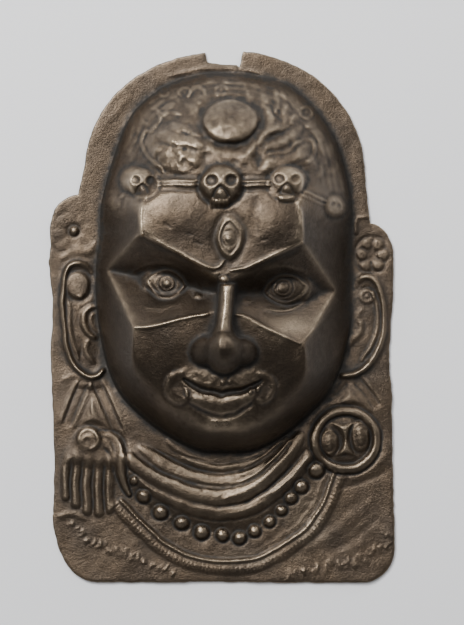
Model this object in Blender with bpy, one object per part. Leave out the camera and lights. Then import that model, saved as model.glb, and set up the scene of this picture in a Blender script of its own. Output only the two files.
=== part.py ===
"""Processional mask: a three-eyed, fanged face raised in one sheet of copper alloy, hollow behind.

The mask lies on its back. Its flat rim rests on z = 0, the face looks up along +Z, the crown of
the head points along +Y, and +X is to the right of someone who looks at the face. The origin is
under the middle of the sheet.

The front is a relief: one height over every point of the sheet. Broad planes give the head and
its sunken eyes, and ridges, domes and balls laid on them give the carving. The back is the same
form sunk by the thickness of the metal, so the head is a shell.
"""
import math

import bpy
import numpy as np
from mathutils.geometry import delaunay_2d_cdt

# Driving dimensions, in metres
HEIGHT = 0.300  # sheet, from its bottom edge to the peak beside the broken notch
DEPTH = 0.077  # floor to the tip of the nose
WALL = 0.002  # thickness of the metal
LATTICE = 0.0005  # spacing of the points where the relief is worked out
MESH_SPACING = 0.001  # spacing of the vertices of the mesh, before it is thinned
TRIANGLES = 9400  # triangles left on the finished solid

# The carving keeps its proportions in modules: the sheet is 300 modules high, and (0, 0) is its
# middle. Heights called rise are modules above the flat front of the sheet.
SHEET_MODULES = 300.0
MODULE = HEIGHT / SHEET_MODULES
TWIST_PITCH = 3.6  # one turn of the rope collar
GROOVE_FLOOR = -0.3  # no groove goes deeper into the flat sheet than this rise
SHARP = math.radians(40)  # edges that turn more than this are drawn sharp
FLAT_BELOW = 0.0004  # what thinning leaves lower than this is pressed flat onto the floor


# Curves

def spline(points, closed=False, steps=6):
    """A smooth curve through the points."""
    p = np.asarray(points, float)
    if closed:
        p = np.vstack([p[-1], p, p[0], p[1]])
    else:
        p = np.vstack([2 * p[0] - p[1], p, 2 * p[-1] - p[-2]])
    t = np.linspace(0, 1, steps, endpoint=False)[:, None]
    runs = []
    for a, b, c, d in zip(p[:-3], p[1:-2], p[2:-1], p[3:]):
        bend = (c - a) * t + (2 * a - 5 * b + 4 * c - d) * t**2 + (3 * b - a - 3 * c + d) * t**3
        runs.append(b + 0.5 * bend)
    runs.append(runs[0][:1] if closed else p[-2:-1])
    return np.vstack(runs)


def arc(centre, radii, start, end, steps=16, power=2.0):
    """Part of an ellipse, angles in degrees; a power over 2 squares its corners."""
    angle = np.radians(np.linspace(start, end, steps))
    cos, sin = np.cos(angle), np.sin(angle)
    x = centre[0] + radii[0] * np.sign(cos) * np.abs(cos) ** (2 / power)
    y = centre[1] + radii[1] * np.sign(sin) * np.abs(sin) ** (2 / power)
    return np.column_stack([x, y])


def almond(centre, length, width, tilt, steps=12):
    """A closed eye shape: half its length and width, turned by tilt degrees."""
    u = np.linspace(-1, 1, steps)
    upper = np.column_stack([u * length, width * (1 - u * u) ** 0.85])
    loop = np.vstack([upper, -upper[1:]])
    angle = math.radians(tilt)
    cos, sin = math.cos(angle), math.sin(angle)
    return loop @ np.array([[cos, sin], [-sin, cos]]) + centre


def lock(start, heading, length, curl, steps=12):
    """A lock of hair that leaves start at a heading and curls by so many degrees at its tip."""
    along = np.linspace(0, 1, steps)
    angle = np.radians(heading + curl * along**2)[:-1]
    stride = length / (steps - 1)
    x = start[0] + stride * np.concatenate([[0], np.cumsum(np.cos(angle))])
    y = start[1] + stride * np.concatenate([[0], np.cumsum(np.sin(angle))])
    return np.column_stack([x, y])


# Surfaces

def smooth_max(a, b, blend):
    overlap = np.maximum(blend - np.abs(a - b), 0) / blend
    return np.maximum(a, b) + overlap**2 * blend / 4


def smooth_min(a, b, blend):
    return -smooth_max(-a, -b, blend)


def smooth_step(low, high, value):
    t = np.clip((value - low) / (high - low), 0, 1)
    return t * t * (3 - 2 * t)


def plane(x, y, a, b, c):
    """Rise of the plane through three points (x, y, rise)."""
    a, b, c = (np.array(p, float) for p in (a, b, c))
    n = np.cross(b - a, c - a)
    return a[2] - (n[0] * (x - a[0]) + n[1] * (y - a[1])) / n[2]


def inside_by(x, y, loop):
    """Distance from a closed loop, positive inside it."""
    nearest = np.full(x.shape, np.inf)
    inside = np.zeros(x.shape, bool)
    for (ax, ay), (bx, by) in zip(loop[:-1], loop[1:]):
        ex, ey = bx - ax, by - ay
        square = max(ex * ex + ey * ey, 1e-12)
        t = np.clip(((x - ax) * ex + (y - ay) * ey) / square, 0, 1)
        nearest = np.minimum(nearest, np.hypot(x - ax - t * ex, y - ay - t * ey))
        if ay != by:
            inside ^= ((ay > y) != (by > y)) & (x < ax + (y - ay) * ex / (by - ay))
    return np.where(inside, nearest, -nearest)


class Relief:
    """The rise of the metal, in modules, at every point of a lattice."""

    def __init__(self, x, y):
        self.x, self.y = x, y
        self.rise = np.zeros_like(x)

    def near(self, points, reach):
        low, high = np.min(points, 0) - reach, np.max(points, 0) + reach
        across = (self.x > low[0]) & (self.x < high[0])
        return across & (self.y > low[1]) & (self.y < high[1])

    def at(self, x, y):
        """The rise at the lattice point nearest to (x, y)."""
        return self.rise.flat[np.argmin(np.hypot(self.x - x, self.y - y))]

    def distance(self, path, where):
        """Distance from a path, and how far along it the nearest point lies, from 0 to 1."""
        x, y = self.x[where], self.y[where]
        nearest = np.full(x.shape, np.inf)
        along = np.zeros(x.shape)
        lengths = np.hypot(*np.diff(path, axis=0).T)
        done = 0.0
        for (ax, ay), (bx, by), length in zip(path[:-1], path[1:], lengths):
            ex, ey = bx - ax, by - ay
            t = np.clip(((x - ax) * ex + (y - ay) * ey) / max(length**2, 1e-12), 0, 1)
            d = np.hypot(x - ax - t * ex, y - ay - t * ey)
            closer = d < nearest
            nearest[closer] = d[closer]
            along[closer] = (done + t[closer] * length) / lengths.sum()
            done += length
        return nearest, np.clip(along, 0, 1)

    def ridge(self, path, half_width, height, taper=0.0, moat=0.0, round_top=False):
        """A raised line, or a groove where height is negative, with a moat cut beside it."""
        path = np.asarray(path, float)
        where = self.near(path, half_width * 2.2)
        away, along = self.distance(path, where)
        narrow = 1 - taper + taper * np.sqrt(4 * along * (1 - along)) if taper else 1.0
        t = away / (half_width * narrow)
        section = np.maximum(1 - t * t, 0) ** (0.5 if round_top else 1.6)
        self.rise[where] += height * section - moat * np.exp(-(((t - 1.25) / 0.3) ** 2))

    def dome(self, centre, radii, height, power=2.0, steepness=0.5, tilt=0.0, moat=0.0):
        """A raised oval, or a pit where height is negative."""
        where = self.near([centre], max(radii) * 1.8)
        angle = math.radians(tilt)
        dx, dy = self.x[where] - centre[0], self.y[where] - centre[1]
        u = (dx * math.cos(angle) + dy * math.sin(angle)) / radii[0]
        v = (dy * math.cos(angle) - dx * math.sin(angle)) / radii[1]
        t = (np.abs(u) ** power + np.abs(v) ** power) ** (1 / power)
        section = np.maximum(1 - t**2, 0) ** steepness
        self.rise[where] += height * section - moat * np.exp(-(((t - 1.15) / 0.16) ** 2))

    def ball(self, centre, radii, blend, tilt=0.0, lean=0.0, pitch=0.0):
        """Joins on an ellipsoid round (x, y, rise); lean tips it along x and pitch along y."""
        where = self.near([centre[:2]], max(radii[:2]) * 1.5)
        angle = math.radians(tilt)
        dx, dy = self.x[where] - centre[0], self.y[where] - centre[1]
        u = (dx * math.cos(angle) + dy * math.sin(angle)) / radii[0]
        v = (dy * math.cos(angle) - dx * math.sin(angle)) / radii[1]
        q = 1 - u * u - v * v
        top = np.where(q > 0, radii[2] * np.sqrt(np.maximum(q, 0)), radii[2] * 2 * q)
        top = centre[2] + top + lean * dx + pitch * dy
        self.rise[where] = smooth_max(self.rise[where], top, blend)


# Outline of the sheet and of the head

def sheet_outline():
    """The edge of the sheet, with its broken notch at the top and its unequal shoulders."""
    notch = [(11, 146.8), (9.9, 141), (8.6, 142.2), (0, 142.5), (-7.9, 143.7), (-8.6, 146.5)]
    right_side = [(97.4, -100), (96.6, -70), (96.4, -45), (94.8, -25), (95.8, -4), (97, 12)]
    left_side = [(-96.8, 40), (-98, 30), (-95.6, 10), (-95.8, -5), (-96.8, -15), (-96, -40),
                 (-94.5, -85)]
    runs = [
        arc((-70, -112), (25.5, 38.5), 180, 270, 12),
        [(0, -150), (40, -150.5)],
        arc((79, -131), (19, 19.5), 270, 360, 10),
        right_side,
        arc((84, 33), (13.2, 20), 0, 88, 9),
        [(83.6, 57), (82, 70)],
        arc((2, 77.5), (79.3, 73), 2, 83.5, 22, 2.12),
        notch,
        arc((2, 77.5), (80, 72), 97, 176, 22, 2.15),
        arc((-80.5, 50), (16.5, 19), 92, 180, 9),
        left_side,
    ]
    edge = np.vstack([np.asarray(run, float) for run in runs])
    middle = (edge.min(0) + edge.max(0)) / 2
    return (edge - middle) * SHEET_MODULES / np.ptp(edge[:, 1])


HEAD = [(5, 138), (26, 134.5), (45, 125), (65, 98), (74.5, 55), (75, 25), (72, -8), (62, -40),
        (40, -63.5), (18, -74.6), (2, -77), (-14, -72.8), (-42, -59), (-61, -36), (-70, 5),
        (-69.5, 40), (-66, 70), (-53, 109), (-36, 127), (-14, 136.5)]

# Rise of the middle of the face, from the chin up over the forehead to the back of the crown
PROFILE = [(-80, 1), (-74, 24), (-68, 37), (-60, 42.5), (-50, 45.2), (-42, 46.8), (-20, 49.6),
           (0, 52), (18, 54.5), (30, 56.5), (45, 57.5), (60, 57), (73, 55), (96, 47.5),
           (109, 39.5), (120, 30), (129, 18), (135, 7), (139, 0)]


# The head

def head(form):
    x, y = form.x, form.y
    depth_in = inside_by(x, y, spline(HEAD, closed=True))
    profile = spline(PROFILE, steps=8)
    front = np.interp(y, profile[:, 0], profile[:, 1])
    front -= (2 + 4 * smooth_step(20, 55, y)) * (np.abs(x - 2) / 45) ** 2.2
    crown = smooth_step(48, 86, y)
    jaw = smooth_step(-20, -50, y)
    round_over = 20 + 32 * crown + 6 * jaw
    wall = (52 + 2 * crown) * np.sin(math.pi / 2 * np.clip(depth_in / round_over, 0, 1)) ** 0.8
    left_cheek = 48.6 + 2.2 * (x + 48.8 - 3 * smooth_step(25, 50, y))
    right_cheek = 48.6 - 1.8 * (x - 45.8)
    soft = 1.5 + 9 * jaw
    flat_sides = smooth_min(smooth_min(front, left_cheek, soft), right_cheek, soft)
    flat_sides = smooth_min(flat_sides, wall, 2 + 12 * smooth_step(-5, -45, y))
    round_sides = smooth_min(front, wall, 14)
    form.rise = flat_sides + (round_sides - flat_sides) * crown
    form.rise += 1.5 * np.exp(-(((x + 20) / 17) ** 2) - ((y - 56) / 13) ** 2)
    form.rise += 1.8 * np.exp(-(((x - 28) / 11) ** 2) - ((y - 51) / 11) ** 2)
    return depth_in


def sockets(form):
    """Each eye lies in a valley of two planes that meet under the brow."""
    x, y = form.x, form.y
    corners = [
        [(-45, 46, 49), (-5, 27, 56), (-66, 27, 13), (-49.2, -5.8, 48.2), (-7, 2.1, 51.7)],
        [(45.5, 41, 49), (8, 26.5, 56), (70.5, 15, 12), (44, -14.5, 48.2), (8, 1.6, 51.8)],
    ]
    for brow_outer, brow_inner, temple, cheek, nose_side in corners:
        above = plane(x, y, brow_outer, brow_inner, temple)
        below = plane(x, y, temple, cheek, nose_side)
        form.rise = smooth_min(form.rise, smooth_max(above, below, 3), 0.9)


def seat(form, depth_in):
    """The head sits on the flat sheet, and the neck swells below the chin."""
    out = np.maximum(-depth_in, 0)
    swell = 4.5 * np.exp(-((out / 28) ** 2)) * smooth_step(-20, -60, form.y)
    raised = smooth_max(form.rise, swell, 3)
    form.rise = np.where(depth_in > 0, np.maximum(raised, 0), swell)


def brows(form):
    edges = [
        ([(-47.5, 45.2), (-44, 45.7), (-26, 36.2), (-7, 27.2), (-0.5, 29.5)], 1.5, 1.0),
        ([(-44.6, 46), (-45.4, 52), (-43.5, 65)], 1.2, 0.7),
        ([(45.5, 41.2), (40, 39), (18, 29.6), (5, 27)], 1.5, 1.0),
        ([(45.5, 41.2), (45.7, 48), (42.6, 62.5)], 1.2, 0.7),
        ([(-49.2, -5.8), (-36, -4.6), (-20, -0.4), (-7, 2.1)], 1.3, 0.8),
        ([(43.6, -14.6), (30, -8.4), (20, -3), (8, 1.6)], 1.3, 0.8),
    ]
    for path, half_width, height in edges:
        form.ridge(spline(path), half_width, height)


def eyes(form):
    for centre, lid, iris, tilt in (((-31, 18.5), (13.5, 9.6), (-30, 19), -6),
                                    ((35, 15.5), (15, 10), (34, 16.3), 6)):
        lean = -0.2 * math.copysign(1, centre[0])
        form.ball((*centre, form.at(*centre) - 1), (*lid, 8), 2.5, tilt, lean)
        form.ridge(almond(centre, lid[0] - 2.2, lid[1] - 2.4, tilt), 1.3, 1.1, moat=0.5)
        form.dome(iris, (5.4, 5), 1.7, moat=0.4)


def third_eye(form):
    centre = (4, 43.5)
    form.dome(centre, (8.6, 13.4), 2.2, power=1.6, moat=1.0)
    form.ridge(almond(centre, 11.4, 6.2, 90), 1.2, 1.1)
    form.dome(centre, (4.2, 4.2), 1.7, moat=0.4)


def nose(form):
    """A half-round bridge from between the brows, a broad tip, and a wing on either side."""
    down = np.clip((19 - form.y) / 36, 0, 1)
    half_width = 3.8 + 4.6 * smooth_step(0.6, 1.05, down)
    crest = 56.5 + 12 * down**1.25
    q = 1 - ((form.x - 3.4 + 2.9 * down) / half_width) ** 2
    bar = crest - half_width + np.where(q > 0, half_width * np.sqrt(np.maximum(q, 0)), 14 * q)
    bar -= 90 * (1 - smooth_step(21, 18, form.y) * smooth_step(-26, -18, form.y))
    form.rise = smooth_max(form.rise, bar, 2)
    form.ball((1.6, -19.8, 52.5), (10.4, 12, 18.5), 6, pitch=0.5)
    form.ball((-8.4, -18.8, 47.5), (9.4, 7.8, 14.5), 8, tilt=12, pitch=0.4)
    form.ball((11.6, -19.4, 47.5), (9.2, 7.9, 14.5), 8, tilt=-10, pitch=0.4)
    form.dome((1, 21.7), (2.6, 2.6), 2.6, moat=0.4)


def mouth(form):
    form.ball((0, -41, 36), (33, 21, 14), 6)
    form.ridge(spline([(-21, -31.5), (-13, -33), (-5, -34), (-1.5, -33.5)]), 4.2, 1.4, taper=0.3)
    form.ridge(spline([(25, -30.5), (17, -32), (9, -34.5), (3.5, -34.5)]), 4, 1.3, taper=0.3)
    parting = [(-21, -34.2), (-14, -38), (0, -41.5), (13, -39.2), (20, -36), (25, -33.3)]
    form.ridge(spline(parting), 2.3, -3.4)
    form.ridge(spline([(-16, -44), (0, -49.3), (16, -43.5)]), 5, 2.2, taper=0.4)
    form.ridge(spline([(-18, -48), (-9, -53.8), (0, -55.4), (9, -53.8), (20, -47)]), 2, -1.6)
    for side, corner, fang in ((-1, (-26, -38), (-18.8, -41.6)), (1, (24, -37), (19.8, -39.8))):
        curl = arc(corner, (4.6, 6.6), 90 - side * 60, 90 - side * 215, 10)
        form.ridge(curl, 2.2, 2, moat=0.3)
        form.dome(fang, (2.2, 2.8), 1.8)
    form.dome((1, -61), (15, 7), 2, steepness=1.5)


# The crown of skulls and the hair

def skull(form, centre, size, swell, turn=0.0, cut=1.0):
    """A small skull: its sizes are shares of its own radius."""
    cx, cy = centre
    form.ball((cx, cy, form.at(cx, cy) - size * 0.25), (size, size * 0.97, size * swell), 0.8)
    unit = size / 12
    cx += turn * unit
    for side in (-1, 1):
        eye = (cx + side * 5.3 * unit, cy + 3 * unit)
        form.dome(eye, (3.4 * unit, 3.3 * unit), -3.4 * unit * cut, steepness=0.8)
    bridge = np.array([(-3, -4.8), (0, -1), (3, -4.8)]) * unit + (cx, cy)
    form.ridge(bridge, 1.2 * unit, -1.6 * unit * cut)
    form.dome((cx - unit, cy - 9.6 * unit), (5.2 * unit, 2.4 * unit), 2.6 * unit, power=4)


def skull_crown(form):
    for low, high in (((-36, 74.8), (-13, 74.8)), ((11, 74.6), (27, 74.4)), ((44, 69.5), (58, 64)),
                      ((-51, 71), (-57, 67))):
        form.ridge([low, high], 2.2, 1.7, round_top=True)
    form.ridge([(-36, 71.2), (27, 71.2)], 1.4, -1.2)
    skull(form, (0, 73.3), 12.2, 0.86)
    skull(form, (-43.2, 74), 9, 0.9, turn=-1.6, cut=0.8)
    skull(form, (35.6, 74), 9.6, 0.9, turn=1.8, cut=0.6)
    form.dome((64, 61.5), (6.8, 6.6), 4, moat=0.5)


def hair(form):
    """Flame-like locks that sweep back on either side of the disc."""
    locks = [
        ((-15, 100), 148, 15, 10, 2.6, 1.9), ((-11, 94), 158, 24, 12, 3.4, 2.6),
        ((-12, 88.5), 168, 24, -15, 3.6, 2.6), ((-36, 87), 140, 26, -150, 2, 1.9),
        ((-44, 116), -15, 19, 40, 1.8, 1.7), ((-22, 112), 120, 12, 90, 2, 1.5),
        ((-26, 120), 60, 12, -120, 1.8, 1.5), ((-16, 121), 75, 13, -160, 1.9, 1.7),
        ((19, 100), 65, 30, 65, 2.3, 2), ((27, 107), 85, 22, 50, 2, 1.9),
        ((33, 112), 92, 17, -10, 2.2, 1.8), ((43, 103), 70, 18, 60, 2, 1.7),
        ((11, 86), 65, 22, -60, 2.6, 2), ((17, 87), 45, 28, -30, 3, 2.3),
        ((23, 84.5), 15, 30, 40, 3.2, 2.4), ((52, 106), -70, 22, -15, 1.9, 1.5),
        ((-50, 106), -105, 20, 10, 1.9, 1.4), ((-5, 124), 80, 11, -170, 1.8, 1.5),
    ]
    for start, heading, length, curl, half_width, height in locks:
        path = lock(start, heading, length, curl)
        form.ridge(path, half_width * 1.15, height * 0.8, taper=0.45, moat=0.3)
    form.dome((5, 109.3), (15.3, 12.4), 3, steepness=0.35, moat=1.4)
    form.dome((5, 108), (14.6, 11.6), 2.2, steepness=1)


# Ears and what hangs from them

def ears(form):
    form.dome((-80, 2), (12, 32), 1.6, power=2.6, steepness=0.8)
    form.dome((81, -2), (11, 27), 1.5, power=2.6, steepness=0.8)
    raised = [
        ([(-70, 24), (-72.5, 29.5), (-79, 32), (-85.5, 29), (-90, 12), (-89.3, 0), (-85.3, -20),
          (-77, -31.8), (-68.5, -30.5)], 2.2, 3),
        ([(-70.5, 5), (-75.5, 2.2), (-78, -4), (-76.3, -10.5), (-67.5, -18)], 2, 2.2),
        ([(74.5, 18), (77, 23), (82, 24), (87.5, 20), (92.3, 2), (91.3, -9), (85, -27),
          (74, -32.5), (68.5, -31)], 2.2, 2.8),
        ([(84, 16), (88.6, -1), (87.6, -11), (80, -25.5)], 1.6, 1.8),
        ([(78, -6), (75, -11), (67, -20)], 1.8, 1.6),
    ]
    for path, half_width, height in raised:
        form.ridge(spline(path), half_width, height, moat=0.4)
    form.dome((-81, 17), (5.4, 6.2), 1.4, steepness=0.8)
    form.dome((81, 11.5), (4, 4), 2, moat=0.4)


def straps(form):
    """Sunk bands that run down from each lobe, with a raised spandrel between them."""
    for path in ([(-77.4, -37), (-84.4, -53.6), (-86.9, -60)],
                 [(-70.4, -37), (-61.6, -56.6), (-58.6, -64)],
                 [(76.9, -36.5), (82.4, -43), (87.6, -50.4)],
                 [(70.5, -37.5), (66, -43), (60.6, -47.8)]):
        form.ridge(spline(path), 2.9, -0.6)
    form.ridge([(-73.9, -45), (-72.4, -57)], 5.4, 1.5)
    form.ridge([(72.6, -42), (72, -49)], 4.6, 1.2)
    form.ridge(spline([(65, -36.8), (59, -43), (53, -49.5)]), 2.8, 1.1)


def left_pendant(form):
    """A cap with a coiled boss, fingers that hang from it, and a bent one beside them."""
    form.dome((-71.5, -73.5), (16.8, 13.2), 2.6, power=2.6, steepness=0.7)
    form.ridge(arc((-74.9, -68.9), (5.7, 5.9), 215, -70, 20), 2.2, 2.0, taper=0.4)
    for x, foot in ((-88, -101), (-82, -105), (-75.6, -108.6), (-69.3, -109.6), (-63.2, -108)):
        form.ridge([(x + 0.8, -79), (x, foot)], 2.8, 2.2, round_top=True, moat=0.5)
    bent = spline([(-66, -66), (-60, -69), (-57, -76), (-56.4, -86), (-52.6, -99)])
    form.ridge(bent, 3.9, 2.8, taper=0.35, moat=0.5)


def right_pendant(form):
    """A ring round a waisted bar with a leaf on either side."""
    middle = np.array((69.7, -69))
    form.dome(middle, (16, 15.5), 0.8)
    form.ridge(arc(middle, (17.2, 16.8), 0, 360, 40), 2.6, 3.2, round_top=True, moat=0.8)
    form.ridge([middle + (-1.5, 10.5), middle + (0.8, -10.5)], 2.6, 2.2)
    for end in (1, -1):
        fork = [middle + (x, end * y) for x, y in ((-6.5, 10.8), (0, 7.4), (6, 10.6))]
        form.ridge(fork, 2.4, 2)
    form.dome(middle + (-9, 0), (5, 9.2), 2.2, tilt=8, moat=0.7)
    form.dome(middle + (9.5, 1), (5, 9.6), 2.2, tilt=-3, moat=0.7)


def rosettes(form):
    for centre, petals, radius, height in (((-83.3, 48.6), 8, 8.4, 0.5), ((85, 35.4), 6, 6.8, 1.2)):
        for turn in np.arange(petals) * 360 / petals:
            angle = math.radians(turn + 20)
            petal = (centre[0] + radius * math.cos(angle), centre[1] + radius * math.sin(angle))
            form.dome(petal, (3.9, 3.4), height, steepness=0.9, tilt=turn + 20, moat=0.3)
        form.dome(centre, (2.8, 2.8), 1.3, moat=0.3)


# Neck, beads and collar

def hanging_curve(left, low, right):
    """A line that sags from one end through its lowest point to the other end."""
    (x0, y0), (x1, y1), (x2, y2) = left, low, right
    x = np.linspace(x0, x2, 17)
    span = np.where(x < x1, x1 - x0, x2 - x1)
    height = np.where(x < x1, y0 - y1, y2 - y1)
    return np.column_stack([x, y1 + height * (np.abs(x - x1) / span) ** 1.9])


def neck_folds(form):
    """Soft rolls that hang from ear to ear, each with a seam along its lower side."""
    folds = [
        ((-30, -70), (1, -85.2), (31, -71), 2.8, 1.0),
        ((-45, -74), (1, -91.8), (36, -69.5), 4.4, 2.0),
        ((-53, -79), (0, -101), (44, -67.5), 5.6, 2.8),
        ((-48, -91), (2, -110.6), (50, -78), 4.0, 1.7),
    ]
    for left, low, right, half_width, height in folds:
        form.ridge(hanging_curve(left, low, right), half_width, height, taper=0.5)
    for left, low, right in (((-38, -74.5), (1.7, -87.8), (34, -70.5)),
                             ((-48, -78.5), (1.7, -96), (39, -70.5)),
                             ((-52, -86), (1.7, -106.2), (47, -75))):
        form.ridge(hanging_curve(left, low, right), 1.6, -0.7, taper=0.5)


def beads(form):
    string = spline([(-48.5, -93.3), (-33.5, -110.4), (-11, -121), (8, -124.3), (27, -115.2),
                     (39.5, -102), (53.4, -87.6)], steps=12)
    run = np.concatenate([[0], np.cumsum(np.hypot(*np.diff(string, axis=0).T))])
    for share in np.linspace(0, 1, 13):
        x = np.interp(share * run[-1], run, string[:, 0])
        y = np.interp(share * run[-1], run, string[:, 1])
        radius = 4.7 - 1.0 * math.sin(math.pi * share) ** 2 * (share > 0.4)
        form.dome((x, y), (radius, radius), radius * 0.85, moat=0.5)


def rope_collar(form):
    crest = spline([(-57, -103), (-41, -119.5), (-17, -134.6), (0, -137.4), (17, -136.6),
                    (31, -131), (45, -121), (55.5, -108.5), (63, -88.5)])
    away = crest - (3, -60)
    band = crest + away / np.hypot(*away.T)[:, None] * 4.2
    form.ridge(crest, 1.2, 1.5, round_top=True)
    form.ridge(band, 3.6, 1.4, taper=0.3, round_top=True)
    where = form.near(band, 5)
    off, along = form.distance(band, where)
    length = np.hypot(*np.diff(band, axis=0).T).sum()
    turns = np.cos(2 * math.pi * along * length / TWIST_PITCH)
    form.rise[where] += 0.3 * turns * np.maximum(1 - (off / 3.4) ** 2, 0)


# The solid

def carve(x, y):
    """The full relief, and the broad form that the hollow follows."""
    form = Relief(x, y)
    depth_in = head(form)
    sockets(form)
    seat(form, depth_in)
    nose(form)
    broad = form.rise.copy()
    for carving in (eyes, third_eye, brows, mouth, hair, skull_crown, ears, straps, left_pendant,
                    right_pendant, rosettes, neck_folds, beads, rope_collar):
        carving(form)
    form.rise = np.maximum(form.rise, GROOVE_FLOOR)
    return form.rise, np.minimum(form.rise, broad)


def sink(surface, spacing, distance):
    """The surface moved in by a distance: the lowest a ball of that radius reaches under it."""
    reach = int(distance / spacing) + 1
    rows, columns = surface.shape
    padded = np.pad(surface, reach, mode="edge")
    sunk = np.full(surface.shape, np.inf)
    for i in range(-reach, reach + 1):
        for j in range(-reach, reach + 1):
            square = distance**2 - (i * i + j * j) * spacing**2
            if square < 0:
                continue
            moved = padded[reach + i:reach + i + rows, reach + j:reach + j + columns]
            sunk = np.minimum(sunk, moved - math.sqrt(square))
    return sunk


def rows_and_columns(edge, spacing):
    """Lines at a spacing that cover the sheet, with one to spare on every side."""
    low, high = edge.min(0) - spacing, edge.max(0) + spacing
    return [np.arange(low[k], high[k] + spacing, spacing) for k in (0, 1)]


def sample(values, xs, ys, points):
    """Values of the lattice at any place, weighed from the four points round it."""
    u = np.clip((points[:, 0] - xs[0]) / (xs[1] - xs[0]), 0, len(xs) - 1.001)
    v = np.clip((points[:, 1] - ys[0]) / (ys[1] - ys[0]), 0, len(ys) - 1.001)
    row, column = v.astype(int), u.astype(int)
    s, t = v - row, u - column
    low = values[row, column] * (1 - t) + values[row, column + 1] * t
    high = values[row + 1, column] * (1 - t) + values[row + 1, column + 1] * t
    return low * (1 - s) + high * s


def lay_out(edge):
    """Plan of the mesh: stations on the outline, then points inside it at the same spacing."""
    loop = np.vstack([edge, edge[:1]])
    length = np.concatenate([[0], np.cumsum(np.hypot(*np.diff(loop, axis=0).T))])
    stations = np.union1d(length[:-1], np.arange(0, length[-1] - MESH_SPACING / 2, MESH_SPACING))
    clear = np.diff(stations) > MESH_SPACING * 0.2
    stations = stations[np.concatenate([clear, [True]])]
    rim = np.column_stack([np.interp(stations, length, loop[:, k]) for k in (0, 1)])
    x, y = np.meshgrid(*rows_and_columns(edge, MESH_SPACING))
    inside = inside_by(x, y, loop) > MESH_SPACING * 0.6
    return rim, np.column_stack([x[inside], y[inside]])


def mask_mesh():
    """Front and back skins over the same plan, joined round the rim."""
    edge = sheet_outline() * MODULE
    xs, ys = rows_and_columns(edge, LATTICE)
    x, y = np.meshgrid(xs, ys)
    rise, broad = carve(x / MODULE, y / MODULE)
    scale = (DEPTH - WALL) / rise.max()
    front = WALL + rise * scale
    back = np.maximum(sink(WALL + broad * scale, LATTICE, WALL), 0)
    rim, inner = lay_out(edge)
    count = len(rim)
    loop = [(i, (i + 1) % count) for i in range(count)]
    result = delaunay_2d_cdt(np.vstack([rim, inner]).tolist(), loop, [], 1, 1e-7)
    points = np.array([tuple(v) for v in result[0]])
    faces = np.array([tuple(f) for f in result[2]])
    top, under = sample(front, xs, ys, points), sample(back, xs, ys, points)
    top[:count] = WALL
    under[:count] = 0
    skin = np.vstack([np.column_stack([points, top]), np.column_stack([points, under])])
    total = len(points)
    sides = [(i, i + total, j + total, j) for i, j in loop]
    skins = faces.tolist() + (faces[:, ::-1] + total).tolist()
    shell = bpy.data.meshes.new("shell")
    shell.from_pydata(skin.tolist(), [], skins + sides)
    return shell


def thin_out(shell):
    """The shell with fewer faces: many where the carving is, few where the metal is flat."""
    dense = bpy.data.objects.new("dense", shell)
    bpy.context.scene.collection.objects.link(dense)
    fewer = dense.modifiers.new("fewer faces", "DECIMATE")
    fewer.ratio = TRIANGLES / sum(len(face.vertices) - 2 for face in shell.polygons)
    fewer.use_collapse_triangulate = True
    evaluated = dense.evaluated_get(bpy.context.evaluated_depsgraph_get())
    thinned = bpy.data.meshes.new_from_object(evaluated)
    bpy.data.objects.remove(dense)
    points = np.empty(len(thinned.vertices) * 3, np.float32)
    thinned.vertices.foreach_get("co", points)
    height = points[2::3]
    height[height < FLAT_BELOW] = 0
    thinned.vertices.foreach_set("co", points)
    thinned.shade_smooth()
    thinned.set_sharp_from_angle(angle=SHARP)
    return thinned


def bronze():
    """Dark patinated copper alloy."""
    material = bpy.data.materials.new("dark bronze")
    material.use_nodes = True
    shader = material.node_tree.nodes["Principled BSDF"]
    shader.inputs["Base Color"].default_value = (0.085, 0.065, 0.048, 1)
    shader.inputs["Roughness"].default_value = 0.38
    shader.inputs["Metallic"].default_value = 0.9
    return material


def build():
    for thing in list(bpy.data.objects):
        bpy.data.objects.remove(thing)
    solid = thin_out(mask_mesh())
    solid.materials.append(bronze())
    mask = bpy.data.objects.new("mask", solid)
    collection = bpy.data.collections.new("processional_mask")
    bpy.context.scene.collection.children.link(collection)
    collection.objects.link(mask)


build()
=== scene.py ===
"""Processional mask: its worn relief, its dark bronze and a pale table to lie on.

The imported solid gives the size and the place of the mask. This script carves the same form again
on a finer lattice, with the marks of the tool and of wear, and lights it from the upper left.
Lengths in the carving are modules: the sheet is 300 modules high and (0, 0) is its middle. A rise
is a height in modules above the flat front of the sheet.
"""
import math

import bpy
import numpy as np
from bpy.props import FloatProperty, FloatVectorProperty, IntProperty, PointerProperty
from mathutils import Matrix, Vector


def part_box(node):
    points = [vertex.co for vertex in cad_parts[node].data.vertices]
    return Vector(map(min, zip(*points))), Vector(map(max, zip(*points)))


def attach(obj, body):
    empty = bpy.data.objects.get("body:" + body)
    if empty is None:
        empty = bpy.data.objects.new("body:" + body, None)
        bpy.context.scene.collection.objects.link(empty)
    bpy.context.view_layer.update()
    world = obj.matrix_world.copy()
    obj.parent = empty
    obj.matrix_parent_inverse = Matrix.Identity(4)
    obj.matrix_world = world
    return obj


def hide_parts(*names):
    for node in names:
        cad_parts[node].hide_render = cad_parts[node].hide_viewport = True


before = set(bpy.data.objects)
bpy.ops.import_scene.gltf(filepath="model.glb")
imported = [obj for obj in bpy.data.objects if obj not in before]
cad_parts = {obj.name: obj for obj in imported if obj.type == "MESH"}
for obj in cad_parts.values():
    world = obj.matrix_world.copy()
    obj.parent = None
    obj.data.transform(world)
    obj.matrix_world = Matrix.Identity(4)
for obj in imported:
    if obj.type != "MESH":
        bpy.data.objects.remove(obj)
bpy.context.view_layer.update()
LOW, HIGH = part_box("mask")

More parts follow.
